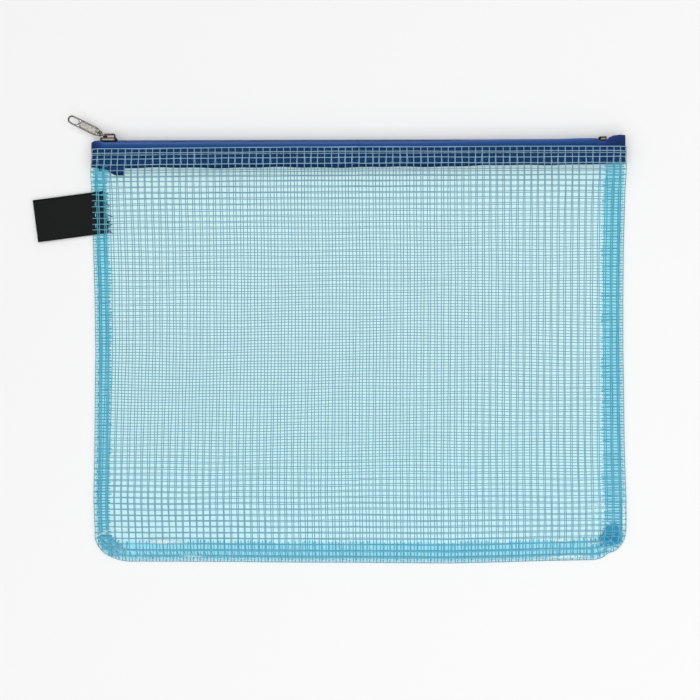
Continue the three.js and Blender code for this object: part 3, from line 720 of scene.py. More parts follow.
def warp_paths(surface, positions, turn, wander):
    """Upright threads: x is the thread's own place plus its lean and a small wander, and t
    runs from the outline up over the hem."""
    share = stations(0, 1, 56, rolled=WARP_RIM)[:-1]
    x0 = positions[:, None]
    reach = np.clip((np.abs(x0) - (HALF - CORNER_RUN)) / CORNER_RUN, 0, 1)
    start = CORNER_RISE * (1 - np.sqrt(1 - reach**2))
    wall = start + (WALL_LENGTH - start) * share
    t = np.concatenate([wall, hem_stations() + 0 * x0], axis=1)
    phase = wander.uniform(0, 2 * np.pi, x0.shape)
    wave = 0.09 * np.sin(t / 17 + phase) + 0.06 * np.sin(t / 5.3 + 2 * phase)
    inside = np.maximum(t - WALL_LENGTH - HEM_TURN, 0) / HEM_INNER
    slant = wander.choice([-1, 1, 0.3], x0.shape) * 0.5 * inside**2
    x = x0 + wave + turn * (t - WALL_LENGTH) + slant
    return surface(np.clip(x, -HALF + 0.02, HALF - 0.02), t)


def weft_paths(surface, rows, turn, span, wander):
    """Level threads: t is the row's own place plus its lean and a small wander, and x runs
    over a half or the whole width."""
    t0 = rows[:, None]
    y, _ = cloth_row(t0, 1)
    x = half_width(y) * across_shares(span, 44, WEFT_RIM)
    phase = wander.uniform(0, 2 * np.pi, t0.shape)
    wave = 0.08 * np.sin(x / 15 + phase) + 0.05 * np.sin(x / 4.7 + 2 * phase)
    calm = smooth(np.minimum(t0, WALL_LENGTH) / 8)
    return surface(x, np.clip(t0 + (wave + turn * x) * calm, 0.02, CLOTH_LENGTH))


def back_net_sheet(x, t):
    """Point of the back cloth for its net. The two nets are half a mesh out of step, except
    towards the bottom left, where they come into line."""
    y, _ = cloth_row(t, -1)
    aside = (1 - smooth((x + 100) / 120)) * (1 - smooth((y + 85) / 100))
    aside = aside * smooth((edge_distance(x, y) - 1) / 5)
    rise = WEFT_PITCH / 2 * smooth((y + 85) / 60) * smooth((HEM_BOTTOM - y) / 8)
    return back_sheet(x - WARP_PITCH / 2 * aside, np.minimum(t + rise, CLOTH_LENGTH))


def wall_net(name, surface, span, turn, shift, lift):
    """Net of one wall or half wall: warp and weft tubes, the warp a little above the film's
    middle and the weft a little below, lift being the way out of the bag. The warp is
    slimmer in the hem, where the sewing draws it tight."""
    wander = np.random.default_rng(NET_SEED)
    reach = int(HALF / WARP_PITCH)
    places = np.arange(-reach, reach + 1) * WARP_PITCH + shift
    low, high = span
    inside = np.abs(places) < HALF - NET_MARGIN
    places = places[inside & (places >= low * HALF - 1e-9) & (places < high * HALF)]
    warp = warp_paths(surface, places, turn, wander)
    outer = np.arange(WALL_LENGTH - WEFT_BELOW_FOLD, LOWEST_WEFT, -WEFT_PITCH)
    inner = WALL_LENGTH + HEM_TURN / 2 + np.array(WEFTS_IN_HEM)
    weft = weft_paths(surface, np.concatenate([outer, inner]), turn, span, wander)
    warp[..., 2] += lift * WEAVE_LIFT
    weft[..., 2] -= lift * WEAVE_LIFT
    width = WARP_WIDTH * (1 - WARP_DRAWN * smooth((warp[..., 1] - HEM_BOTTOM) / 1.5))
    upright = tube_arrays(warp, AXIS_X, width, THREAD_HEIGHT)
    level = tube_arrays(weft, AXIS_Y, WEFT_WIDTH, THREAD_HEIGHT)
    return net_piece(name, [upright, level], net)


BACK_TURN = 0.0015
BACK_SHIFT = WARP_PITCH / 2

left_film = wall_film("front_film_left", front_sheet, LEFT_HALF, glint_painted_film)
right_film = wall_film("front_film_right", front_sheet, RIGHT_HALF, glint_painted_film)
back_film = wall_film("back_film", back_sheet, WHOLE, film, flip=True)
left_net = wall_net("front_net_left", front_sheet, LEFT_HALF, 0.0, 0.0, 1)
right_net = wall_net("front_net_right", front_sheet, RIGHT_HALF, 0.0, 0.0, 1)
back_net = wall_net("back_net", back_net_sheet, WHOLE, BACK_TURN, BACK_SHIFT, -1)

# %% [markdown]
# Both walls are sewn together inside out and then turned, so their cut edges lie inside,
# along the sides and the bottom: two more layers of film between the walls, which show as
# a darker band. Round the bottom corners the spare cloth is gathered into overlapping
# pleats.

# %% Turned-in seam edges
LEFT_EDGE = 6.2
RIGHT_EDGE = 8.8
LAYER_SPLIT = 0.42
SEAM_BELOW_HEM = 1.2
SIDE_LENGTH = HEM_TOP - SEAM_BELOW_HEM - BOTTOM - CORNER_RISE
CORNER_LENGTH = math.pi / 2 * math.hypot(CORNER_RUN, CORNER_RISE) / math.sqrt(2)
BOTTOM_LENGTH = 2 * (HALF - CORNER_RUN)
ALONG = np.cumsum([0, SIDE_LENGTH, CORNER_LENGTH, BOTTOM_LENGTH, CORNER_LENGTH, SIDE_LENGTH])
PLEAT = 6.5
PLEAT_SLIDE = 0.9
PLEAT_LIFT = 0.42
SEAM_INSET = 1.1
SEAM_THREAD_WIDTH = 0.44
LONG_THREADS = (1.3, 6.0)
SEAM_FILM_STEP = 1.1
SEAM_THREAD_STEP = 1.6
BEAD_STEP = 0.8
SIDE_SHARE = 0.3
BEAD_INSET = 0.12
BEAD_WIDTH = 0.3
BEAD_HEIGHT = 0.5


def seam_frame(s, inset=SEAM_INSET):
    """Place and outward direction at s along the outline, set in a little, from the top of
    the left side round the bottom to the top of the right side, which mirrors the left. A
    corner is an ellipse by angle."""
    run, rise = CORNER_RUN - inset, CORNER_RISE - inset
    far = s > ALONG[5] / 2
    near, mirror = np.where(far, ALONG[5] - s, s), np.where(far, -1, 1)
    a = np.clip((near - ALONG[1]) / CORNER_LENGTH, 0, 1) * np.pi / 2
    x = CORNER_RUN - HALF - run * np.cos(a) + np.maximum(near - ALONG[2], 0)
    y = BOTTOM + CORNER_RISE - rise * np.sin(a) + np.maximum(ALONG[1] - near, 0)
    out_x, out_y = -np.cos(a) / run, -np.sin(a) / rise
    size = np.hypot(out_x, out_y)
    return mirror * x, y, mirror * out_x / size, out_y / size


def gather(s):
    """How much the seam is pleated at s: nothing along the straight runs, all of it in the
    middle of each corner."""
    first = np.clip((s - ALONG[1] + 3) / (CORNER_LENGTH + 6), 0, 1)
    second = np.clip((s - ALONG[3] + 3) / (CORNER_LENGTH + 6), 0, 1)
    return np.sin(np.pi * first) ** 2 + np.sin(np.pi * second) ** 2


def edge_width(s):
    """How far the cut edge reaches in from the seam at s."""
    left = smooth((s - ALONG[1]) / CORNER_LENGTH)
    right = smooth((s - ALONG[3]) / CORNER_LENGTH)
    base = blend_to(LEFT_EDGE, BOTTOM_EDGE, left)
    ragged = 0.25 * np.sin(s / 4.1) + 0.2 * np.sin(s / 1.7 + 1)
    return blend_to(base, RIGHT_EDGE, right) + ragged


def edge_sheet(s, share, layer):
    """Point of a turned-in edge at s along the seam and a share of its width inwards. The
    two layers part by LAYER_SPLIT, wave a little, and slide and lift in pleats where the
    seam is gathered: along by sin, up by cos, both growing with the share."""
    x, y, out_x, out_y = seam_frame(s)
    depth = share * edge_width(s)
    pleat = gather(s) * smooth(share * 1.4)
    phase = 2 * np.pi * s / PLEAT + (0.9 if layer > 0 else 2.6)
    slide = PLEAT_SLIDE * pleat * (1 - 0.85 * share) * np.sin(phase)
    px = x - out_x * depth - out_y * slide
    py = y - out_y * depth + out_x * slide
    open_up = smooth(share * 4)
    wave = 0.12 * np.sin(s / 6.3 + layer) * share
    z = seam_middle(py) + layer * (LAYER_SPLIT * open_up + 0.06) + wave
    z = z + PLEAT_LIFT * pleat * np.cos(phase) * (1 if layer > 0 else 0.5)
    return settle(px, py, z)


def edge_film(name, low, high):
    """Both layers of the turned-in film between two places along the seam."""
    along = np.linspace(low, high, int((high - low) / SEAM_FILM_STEP))
    s, share = np.meshgrid(along, np.linspace(0, 1, 12))
    parts = [
        (edge_sheet(s, share, layer), grid_quads(*s.shape, flip=layer > 0)) for layer in (1, -1)
    ]
    return make_mesh(name, join_arrays(parts), seam_film)


def edge_net(name, low, high, pitch_across, pitch_along):
    """Net of the turned-in edges: short threads that cross the seam and end a little past
    the cut, frayed, and long threads beside it."""
    wander = np.random.default_rng(SEAM_NET_SEED)
    parts = []
    for layer in (1, -1):
        s0 = seam_places(low, high, pitch_across, layer)[:, None]
        share = np.linspace(0, 1, 12) * wander.uniform(1.0, 1.12, s0.shape)
        lean = wander.uniform(-0.5, 0.5, s0.shape)
        crossing = edge_sheet(s0 + lean * share**2, share, layer)
        depth = np.arange(*LONG_THREADS, pitch_along)[:, None] + 0.5 * (layer < 0)
        s = np.linspace(low, high, int((high - low) / SEAM_THREAD_STEP)) + 0 * depth
        share = (depth + 0.1 * np.sin(s / 7 + depth)) / edge_width(s)
        beside = edge_sheet(s, share, layer)
        parts += [thread_tubes(paths, SEAM_THREAD_WIDTH) for paths in (crossing, beside)]
    return net_piece(name, parts, seam_net)


def seam_places(low, high, pitch, layer):
    """Where the walls' own threads reach the seam between two places along it. They turn
    over the edge with the cloth, so a turned-in layer has them in line with its wall."""
    out_of_step = 0 if layer > 0 else 0.5
    top = WALL_LENGTH - WEFT_BELOW_FOLD - out_of_step * WEFT_PITCH
    rows = BOTTOM + np.arange(top, CORNER_RISE, -WEFT_PITCH)
    sides = [ALONG[1] + BOTTOM + CORNER_RISE - rows, ALONG[4] + rows - BOTTOM - CORNER_RISE]
    bends = [np.arange(ALONG[k] + pitch / 2, ALONG[k + 1], pitch) for k in (1, 3)]
    reach = int((HALF - CORNER_RUN) / WARP_PITCH)
    columns = (np.arange(-reach, reach + 1) + out_of_step) * WARP_PITCH
    level = ALONG[2] + columns + HALF - CORNER_RUN
    places = np.sort(np.concatenate([*sides, *bends, level]))
    return places[(places >= low) & (places < high) & (places > 0.4)]


def edge_bead(name, low, high):
    """The rim where front and back film meet, seen edge on: a thin bead along the outline."""
    s = np.linspace(low, high, int((high - low) / BEAD_STEP))[None, :]
    x, y, _, _ = seam_frame(s, BEAD_INSET)
    path = settle(x, y, seam_middle(y))
    return make_mesh(name, tube_arrays(path, AXIS_Z, BEAD_HEIGHT, BEAD_WIDTH), rim_film)


def tuck_material(name, deep, pale, rim, ribs):
    """Film folded under in a fan, many layers deep and so no longer see-through. It is
    deepest in the middle, where most leaves meet; their folds show as ribs that run out
    from there, by the share ribs; and its rim takes on the tone of the film round it. It
    reads the tuck's own UV map, turns round it and the share of the way out."""
    material, tree = new_material(name)
    place = add_node(tree, "ShaderNodeUVMap", uv_map="UVMap")
    fan = {"Vector": place, "Scale": 1.89, "Distortion": 0.7, "Detail": 1.0, "Detail Scale": 2.5}
    rib = add_node(tree, "ShaderNodeTexWave", fan, bands_direction="X").outputs[1]
    way_out = add_node(tree, "ShaderNodeSeparateXYZ", {0: place}).outputs["Y"]
    thin = add_node(tree, "ShaderNodeMix", {0: ribs, 2: way_out, 3: rib})
    depth = {0: thin, 6: paint(deep), 7: paint(pale)}
    shade = add_node(tree, "ShaderNodeMix", depth, data_type="RGBA").outputs[2]
    near_rim = add_node(tree, "ShaderNodeMapRange", {0: way_out, 1: 0.7, 2: 1.0, 4: 0.5})
    ends = {0: near_rim, 6: shade, 7: paint(rim)}
    soft = add_node(tree, "ShaderNodeMix", ends, data_type="RGBA").outputs[2]
    look = {"Base Color": soft, "Roughness": 0.4, "Specular IOR Level": 0.2}
    body = add_node(tree, "ShaderNodeBsdfPrincipled", look)
    add_node(tree, "ShaderNodeOutputMaterial", {"Surface": body})
    return material


def corner_tuck(name, middle, size, turn, height, layers, material):
    """Spare cloth folded under at a corner: rippled leaves whose rim wavers as
    1 + 0.12 sin 3a + 0.07 sin 7a, each a little smaller than the one below."""
    a, share = np.meshgrid(np.linspace(0, 2 * np.pi, 49), np.linspace(0, 1, 9))
    uv = np.stack([a / (2 * np.pi), share], axis=-1)
    parts = []
    for layer in range(layers):
        rim = 1 + 0.12 * np.sin(3 * a + layer) + 0.07 * np.sin(7 * a + 2 * layer)
        reach = share * rim * (1 - 0.16 * layer)
        along, aside = size[0] * reach * np.cos(a), size[1] * reach * np.sin(a)
        lean = math.radians(turn + 12 * layer)
        x = middle[0] + along * math.cos(lean) - aside * math.sin(lean)
        y = middle[1] + along * math.sin(lean) + aside * math.cos(lean)
        ripple = 0.2 * np.sin(6 * a + layer) * share
        points = settle(x, y, height + 0.3 * layer + ripple)
        parts.append((points, grid_quads(*a.shape, flip=True)))
    return make_mesh(name, join_arrays(parts), material, np.concatenate([uv] * layers))


corner_mid = CORNER_LENGTH * SIDE_SHARE
SEAM_PARTS = {
    "left": (ALONG[0], ALONG[1] + corner_mid, WEFT_PITCH, WARP_PITCH),
    "bottom": (ALONG[1] + corner_mid, ALONG[4] - corner_mid, WARP_PITCH, WEFT_PITCH),
    "right": (ALONG[4] - corner_mid, ALONG[5], WEFT_PITCH, WARP_PITCH),
}
seam_films, seam_nets = {}, {}
seam_bead = edge_bead("seam_bead", ALONG[0], ALONG[5])
ribbed = tuck_material("blue PVC film folded in a fan", RIB_DEEP, RIB_PALE, SEAM_NET, 0.55)
piled = tuck_material("blue PVC film piled up", BLOT_DEEP, BLOT_PALE, BLOT_RIM, 0.2)
fan = {"size": (6.5, 3.4), "turn": -38, "height": 1.35, "layers": 1, "material": ribbed}
left_tuck = corner_tuck("left_tuck", (-117.5, -92.6), **fan)
pile = {"size": (5.9, 4.8), "turn": 62, "height": 1.5, "layers": 2, "material": piled}
right_tuck = corner_tuck("right_tuck", (118.2, -88.3), **pile)
for side_name, (low, high, across, along) in SEAM_PARTS.items():
    seam_films[side_name] = edge_film(f"{side_name}_seam_film", low, high)
    seam_nets[side_name] = edge_net(f"{side_name}_seam_net", low, high, across, along)

# %% [markdown]
# The zipper tape is a tight woven polyester ribbon on each side of the coil. It lies flat
# under the coil, folds over and drops inside the hem. At the ends both tapes are squeezed
# together in the side seam. The weave is too fine for the picture, so it is drawn as ribs
# a little coarser than life.

# %% Zipper tape
TAPE_THICK = 0.5
TAPE_EDGE = 1.05
TAPE_OUTER = 4.3
TAPE_BEND = 1.3
TAPE_BOTTOM = 86.8
STOP_X = 114.8
TAPE_BLUE = "#355c9f"
TAPE_DEEP = "#284a83"
# Colour of the painted highlight along the fold.
TAPE_FOLD_HIGHLIGHT = "#4c70ae"
TAPE_END = "#232c66"
# Painted shade where the tape drops inside the hem, partly the darker look of cloth that the film
# presses on.
TAPE_HEM_SHADE = "#12335a"
RIB_PITCH = 0.55
FOLD_PLACE = 2.9
UNDER_FILM = (4.2, 5.7)
DARKER_ENDS = [(106, 117), (-119, -124)]
SQUEEZE = 0.94
SQUEEZE_FROM = 121.2
SQUEEZE_RUN = 4.2
TAPE_LEFT = -125.7
TAPE_RIGHT = 125.2
TAIL_LEFT = -122.9
TAIL_LENGTH = 12.1
TAIL_TOP = 87.4
TAIL_BOTTOM = 85.2
TAIL_THICK = 0.3


def tape_material():
    """Woven polyester tape: fine ribs along the ribbon crossed by finer picks, matt with a
    faint sheen. A paler band along the fold is a painted highlight, and the tape is darker
    towards both ends. Where it drops under the film inside the hem it is painted dark: painted
    shade, and partly the darker look of cloth that the film presses on. The pattern reads the
    tape's own UV map, which is in millimetres."""
    material, tree = new_material("woven polyester tape")
    place = add_node(tree, "ShaderNodeUVMap", uv_map="UVMap")
    ribs = {"Vector": place, "Scale": 0.5 / RIB_PITCH, "Distortion": 0.6}
    rib = add_node(tree, "ShaderNodeTexWave", ribs, bands_direction="Y").outputs[1]
    picks = {"Vector": place, "Scale": 0.9 / RIB_PITCH, "Distortion": 0.4}
    pick = add_node(tree, "ShaderNodeTexWave", picks, bands_direction="X").outputs[1]
    weave = add_node(tree, "ShaderNodeMath", {0: rib, 1: pick}, operation="MULTIPLY")
    axes = add_node(tree, "ShaderNodeSeparateXYZ", {0: place})
    along, across = axes.outputs["X"], axes.outputs["Y"]
    past_fold = {0: across, 1: FOLD_PLACE}
    apart = {0: add_node(tree, "ShaderNodeMath", past_fold, operation="SUBTRACT")}
    from_fold = add_node(tree, "ShaderNodeMath", apart, operation="ABSOLUTE")
    # A painted highlight along the fold, a darker tone towards both ends and painted shade under
    # the hem.
    changes = [({0: from_fold, 1: 0.3, 2: 0.9, 3: 0.7, 4: 0.0}, TAPE_FOLD_HIGHLIGHT)]
    changes += [({0: along, 1: start, 2: full, 4: 0.8}, TAPE_END) for start, full in DARKER_ENDS]
    changes += [({0: across, 1: UNDER_FILM[0], 2: UNDER_FILM[1]}, TAPE_HEM_SHADE)]
    shade = {0: weave, 6: paint(TAPE_DEEP), 7: paint(TAPE_BLUE)}
    tone = add_node(tree, "ShaderNodeMix", shade, data_type="RGBA").outputs[2]
    for reach, colour in changes:
        share = add_node(tree, "ShaderNodeMapRange", reach)
        other = {0: share, 6: tone, 7: paint(colour)}
        tone = add_node(tree, "ShaderNodeMix", other, data_type="RGBA").outputs[2]
    relief = {"Height": weave, "Distance": 0.08 * MM, "Strength": 0.6}
    cloth = {
        "Base Color": tone,
        "Roughness": 0.6,
        "Specular IOR Level": 0.03,
        "Normal": add_node(tree, "ShaderNodeBump", relief),
        "Sheen Weight": 0.02,
        "Sheen Roughness": 0.4,
    }
    body = add_node(tree, "ShaderNodeBsdfPrincipled", cloth)
    add_node(tree, "ShaderNodeOutputMaterial", {"Surface": body})
    return material


tape_cloth = tape_material()


def fold_lift(x, offset):
    """How far the tape's fold stands up towards the closed end, where the seam draws it up.
    Only the fold does, outside the slider's way, and the stop clamps it down."""
    climbed = 0.95 * smooth((x - 15) / 70) + 0.4 * smooth((x - 90) / 15)
    clamped = np.exp(-(((x - STOP_X) / 2.6) ** 4))
    return climbed * (1 - clamped) * smooth((offset - 3.5) / 0.35)


def tape_section():
    """Closed section of the tape as offsets from the zipper's middle and heights, with the
    distance along it: level from the coil, a quarter circle down, then straight down. Both
    faces lie half a thickness from that line, thinner at the selvedge."""
    level = TAPE_FACE - TAPE_THICK / 2
    radius = TAPE_BEND - TAPE_THICK / 2
    angle = np.linspace(0, np.pi / 2, 12)
    bend = TAPE_OUTER - TAPE_BEND + radius * np.sin(angle)
    drop = np.linspace(level - radius, TAPE_BOTTOM, 8)[1:]
    offset = np.concatenate([[TAPE_EDGE, 2.0], bend, 0 * drop + bend[-1]])
    height = np.concatenate([[level, level], level - radius * (1 - np.cos(angle)), drop])
    half = np.full(len(offset), TAPE_THICK / 2)
    half[-1] = TAPE_THICK / 5
    return thicken(np.stack([offset, height], axis=-1), half)


def tape_piece(name, face, low, high):
    """Tape along x from low to high, on the front (face 1) or back (face -1) of the zipper.
    The ends are squeezed towards the middle, and the lower selvedge wavers."""
    section, length = tape_section()
    side, tall = section.T[:, None]
    x = np.concatenate([[low, high], np.linspace(-119, 119, 120), np.linspace(119, 125.4, 9)])
    x = np.unique(np.concatenate([x, -x]))
    x = x[(x >= low) & (x <= high)][:, None]
    squeeze = 1 - SQUEEZE * smooth((np.abs(x) - SQUEEZE_FROM) / SQUEEZE_RUN)
    offset = 0.15 + (side - 0.15) * squeeze
    down = smooth((TAPE_FACE - 3 - tall) / 8)
    waver = 0.18 * np.sin(x / 8.3) + 0.12 * np.sin(x / 3.1 + 1)
    rise = 1.1 * smooth(x / 110) + waver
    upper = smooth((tall - 92) / 5)
    turned = 1 - np.sqrt(1 - np.clip((-123.6 - x) / 2.2, 0, 1) ** 2)
    corner = 1.2 * smooth((x - 114.6) / 3) + 0.65 * smooth((x - 119) / 5)
    ends = corner + 0.8 * smooth((-119 - x) / 3) - 1.4 * turned
    y = tall + rise * down + (fold_lift(x, side) + ends) * upper
    z = CHAIN_Z + face * (offset + 0.12 * np.sin(x / 13) * down)
    points = np.stack([x + 0 * y, y, z], axis=-1)
    quads = swept_quads(*y.shape)
    if face > 0:
        quads = quads[:, ::-1]
    uv = np.stack([x + 0 * y, length + 0 * y], axis=-1)
    return make_mesh(name, (points, quads), tape_cloth, uv)


def tape_tail():
    """Loose end of the tape, folded down below its selvedge at the left: a strip that gets
    wider to the right, as a thin closed shell."""
    u, v = np.meshgrid(np.linspace(0, 1, 14), np.linspace(0, 1, 6))
    x = TAIL_LEFT + TAIL_LENGTH * u
    y = blend_to(TAIL_TOP, TAIL_BOTTOM - 2.0 * smooth((u - 0.3) / 0.4), v)
    z = 1.15 + 0.25 * np.sin(2.5 * u) + 0.3 * v
    face = np.stack([x, y, z], axis=-1)
    uv = np.stack([x, 3 + v * 4], axis=-1)
    number = np.arange(u.size).reshape(u.shape)
    rim = np.concatenate([number[0], number[1:, -1], number[-1, -2::-1], number[-2:0:-1, 0]])
    ahead = np.roll(rim, -1)
    sides = np.stack([rim, ahead, ahead + u.size, rim + u.size], axis=-1)
    quads = [grid_quads(*u.shape, flip=True), grid_quads(*u.shape) + u.size, sides]
    shell = (np.stack([face, face - TAIL_THICK * AXIS_Z]), np.concatenate(quads))
    return make_mesh("tape_tail", shell, tape_cloth, np.stack([uv, uv]))


back_tape = tape_piece("back_tape_cloth", -1, TAPE_LEFT, TAPE_RIGHT)
tail = tape_tail()
front_tape_left = tape_piece("front_tape_left", 1, TAPE_LEFT, 0)
front_tape_right = tape_piece("front_tape_right", 1, 0, TAPE_RIGHT)

# %% [markdown]
# A coil zipper's teeth are one nylon monofilament wound into a flat spiral on each tape.
# Where the two spirals meet, the loops of one lie in the gaps of the other. Each spiral is
# one tube along a flattened helix, half a pitch out of step with its partner. On the bag a
# row of sewing over its spine holds it down, which is not made here.

# %% Coil
COIL_PITCH = 1.15
COIL_START = -117.9
COIL_WIRE = 0.6
COIL_REACH = 2.15
COIL_OVERLAP = 0.45
COIL_BLUE = "#1f4590"
BACK_DROP = 0.6
HEAD_BLUNT = 0.7
SIDE_BLUNT = 0.8
STEPS_PER_TURN = 14
GRAIN_PER_M = 900.0


def nylon_material():
    """Dyed nylon monofilament, drawn smooth: dark, with a satin gloss."""
    material, tree = new_material("dyed nylon monofilament")
    place = add_node(tree, "ShaderNodeTexCoord").outputs["Object"]
    noise = {"Vector": place, "Scale": GRAIN_PER_M, "Detail": 1.0}
    uneven = add_node(tree, "ShaderNodeTexNoise", noise)
    rough = add_node(tree, "ShaderNodeMapRange", {0: uneven, 3: 0.28, 4: 0.45})
    look = {"Base Color": paint(COIL_BLUE), "Roughness": rough, "Specular IOR Level": 0.15}
    body = add_node(tree, "ShaderNodeBsdfPrincipled", look)
    add_node(tree, "ShaderNodeOutputMaterial", {"Surface": body})
    return material


nylon = nylon_material()


def coil_piece(name, face, low, high, phase):
    """Spiral of one coil half between low and high: x = pitch × turns, with the offset from
    the zipper's middle and the height on a flattened oval, wider at the head, which bulges
    as the real loop does to lock."""
    first = math.ceil((low - COIL_START) / COIL_PITCH - phase - 0.01)
    last = math.floor((high - COIL_START) / COIL_PITCH - phase - 0.5)
    turn = np.arange((last - first) * STEPS_PER_TURN + 1) / STEPS_PER_TURN + first
    angle = 2 * np.pi * turn
    x = COIL_START + (turn + phase) * COIL_PITCH
    centre = (COIL_REACH - COIL_OVERLAP) / 2
    swing = (COIL_REACH + COIL_OVERLAP) / 2 - COIL_WIRE / 2
    cosine, sine = np.cos(angle), np.sin(angle)
    offset = centre + swing * np.sign(cosine) * np.abs(cosine) ** HEAD_BLUNT
    tall = (COIL_TOP - TAPE_FACE - COIL_WIRE) / 2
    y = TAPE_FACE + COIL_WIRE / 2 + tall * (1 + np.sign(sine) * np.abs(sine) ** SIDE_BLUNT)
    y = y - BACK_DROP * (face < 0)
    path = np.stack([x, y, CHAIN_Z + face * offset], axis=-1)[None]
    return make_mesh(name, tube_arrays(path, AXIS_X, COIL_WIRE, COIL_WIRE), nylon)


back_coil = coil_piece("back_coil_wire", -1, COIL_START, HALF, 0.5)
front_coil_left = coil_piece("front_coil_left", 1, COIL_START, 1.3, 0)
front_coil_right = coil_piece("front_coil_right", 1, 0, HALF, 0)

# %% [markdown]
# The slider, link, pull and stops are zinc and brass castings with a nickel plate. It stays
# bright on the link and pull, and is worn and stained on the slider and stops. Their shapes
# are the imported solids, so they only need their metal.

# %% Metal
NICKEL = "#faf8f3"
NICKEL_DARK = "#e9e5dd"
CASTING = "#b3aa9c"
CASTING_DARK = "#6f675c"
# Colour of the painted dark reflection along the rims.
RIM_PAINTED_DARK = "#14110e"
EDGE_ROUND = 0.3
RIM_WIDTH = 1.1
RIM_AGREE = (0.9998, 0.992)
SKIN_PER_M = 700.0
PLATED_NODES = ("pull_link", "pull_tab")
CAST_NODES = ("slider_body", "bottom_stop", "back_top_stop", "front_top_stop")


def nickel_material(name, dark, light):
    """Nickel plate over a tumbled casting: warm grey, a little uneven from the casting's skin,
    with dull scuffs that a soft noise picks out. Tumbling rounds the edges, and a bevel of the
    surface normal stands for that. Where a wider bevel leaves the flat normal, near a rim, the
    colour is painted nearly black, a painted dark reflection along the rounded edge."""
    material, tree = new_material(name)
    place = add_node(tree, "ShaderNodeTexCoord").outputs["Object"]
    noise = {"Vector": place, "Scale": SKIN_PER_M, "Detail": 3.0}
    uneven = add_node(tree, "ShaderNodeTexNoise", noise)
    rough = add_node(tree, "ShaderNodeMapRange", {0: uneven, 3: 0.38, 4: 0.55})
    rounded = add_node(tree, "ShaderNodeBevel", {"Radius": EDGE_ROUND * MM}, samples=6)
    wide = add_node(tree, "ShaderNodeBevel", {"Radius": RIM_WIDTH * MM}, samples=8)
    flat = add_node(tree, "ShaderNodeNewGeometry").outputs["Normal"]
    agree = add_node(tree, "ShaderNodeVectorMath", {0: wide, 1: flat}, operation="DOT_PRODUCT")
    near_rim = {0: agree.outputs["Value"], 1: RIM_AGREE[0], 2: RIM_AGREE[1]}
    rim = add_node(tree, "ShaderNodeMapRange", near_rim)
    ends = {0: uneven, 6: paint(dark), 7: paint(light)}
    shade = add_node(tree, "ShaderNodeMix", ends, data_type="RGBA").outputs[2]
    # Painted dark reflection near each rim.
    painted_rim_dark = {0: rim, 6: shade, 7: paint(RIM_PAINTED_DARK)}
    tone = add_node(tree, "ShaderNodeMix", painted_rim_dark, data_type="RGBA").outputs[2]
    relief = {"Height": uneven, "Distance": 0.04 * MM, "Strength": 0.2, "Normal": rounded}
    metal = {
        "Base Color": tone,
        "Metallic": 1.0,
        "Roughness": rough,
        "Normal": add_node(tree, "ShaderNodeBump", relief),
    }
    body = add_node(tree, "ShaderNodeBsdfPrincipled", metal)
    add_node(tree, "ShaderNodeOutputMaterial", {"Surface": body})
    return material


bright_nickel = nickel_material("bright nickel-plated zinc", NICKEL_DARK, NICKEL)
worn_nickel = nickel_material("worn nickel-plated zinc", CASTING_DARK, CASTING)
for node_name in PLATED_NODES + CAST_NODES:
    metal = bright_nickel if node_name in PLATED_NODES else worn_nickel
    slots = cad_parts[node_name].data.materials
    slots.clear()
    slots.append(metal)

# %% [markdown]
# A lockstitch shows as a row of short raised dashes where the thread comes up through the
# cloth. One row holds the tape in each hem, and one runs along each seam.

# %% Stitches
HEM_STITCH_Y = HEM_TOP - 3.05
STITCH_PITCH = 3.6
STITCH_LENGTH = 2.5
THREAD = 0.36
THREAD_FLAT = 0.8
HEM_ROW_END = 124
SEAM_STITCH_PITCH = 5
SEAM_STITCH_LENGTH = 3.0
SEAM_ROW_TOP = 22
TWIST_PER_M = 900.0
HEM_THREAD = "#76888d"
SEAM_THREAD = "#e2f4f9"


def thread_material(name, colour):
    """Spun polyester sewing thread: matt, its twist drawn as slanted bands."""
    material, tree = new_material(name)
    place = add_node(tree, "ShaderNodeTexCoord").outputs["Object"]
    bands = {"Vector": place, "Scale": TWIST_PER_M, "Distortion": 1.0}
    twist = add_node(tree, "ShaderNodeTexWave", bands, bands_direction="DIAGONAL").outputs[1]
    relief = {"Height": twist, "Distance": 0.05 * MM, "Strength": 0.5}
    look = {
        "Base Color": paint(colour),
        "Roughness": 0.6,
        "Normal": add_node(tree, "ShaderNodeBump", relief),
        "Sheen Weight": 0.2,
    }
    body = add_node(tree, "ShaderNodeBsdfPrincipled", look)
    add_node(tree, "ShaderNodeOutputMaterial", {"Surface": body})
    return material


hem_thread = thread_material("grey spun sewing thread", HEM_THREAD)
seam_thread = thread_material("pale spun sewing thread", SEAM_THREAD)


def stitch_places(low, high, pitch):
    """Middles of as many stitches as fit between low and high."""
    count = int((high - low) / pitch)
    return low + (np.arange(count) + 0.5) * (high - low) / count


def stitch_dashes(start, along, out, length):
    """Arched dashes: each rises from the cloth, lies on it and dips again, as an arch of
    1 - (2u - 1)⁴ over its own length u. Returned as paths, shape (stitches, steps, 3)."""
    u = np.linspace(0, 1, 9)[None, :, None]
    arch = (1 - (2 * u - 1) ** 4) * THREAD * THREAD_FLAT
    return start[:, None] + along[:, None] * (u - 0.5) * length + out[:, None] * arch


def hem_stitches(name, surface, lift, low, high):
    """Dashes along the hem between low and high, on the wall's outer face. The table
    presses the row under the bag level with the film."""
    x = stitch_places(low, high, STITCH_PITCH)
    start = surface(x, HEM_STITCH_Y - BOTTOM + 0 * x)
    start[:, 2] += lift * 0.12
    ahead = np.broadcast_to([1.0, 0.02, 0], start.shape)
    out = np.broadcast_to(lift * AXIS_Z, start.shape)
    paths = stitch_dashes(start, ahead, out, STITCH_LENGTH)
    paths[..., 2] = np.maximum(paths[..., 2], THREAD / 2)
    return make_mesh(name, tube_arrays(paths, AXIS_Y, THREAD, THREAD * THREAD_FLAT), hem_thread)


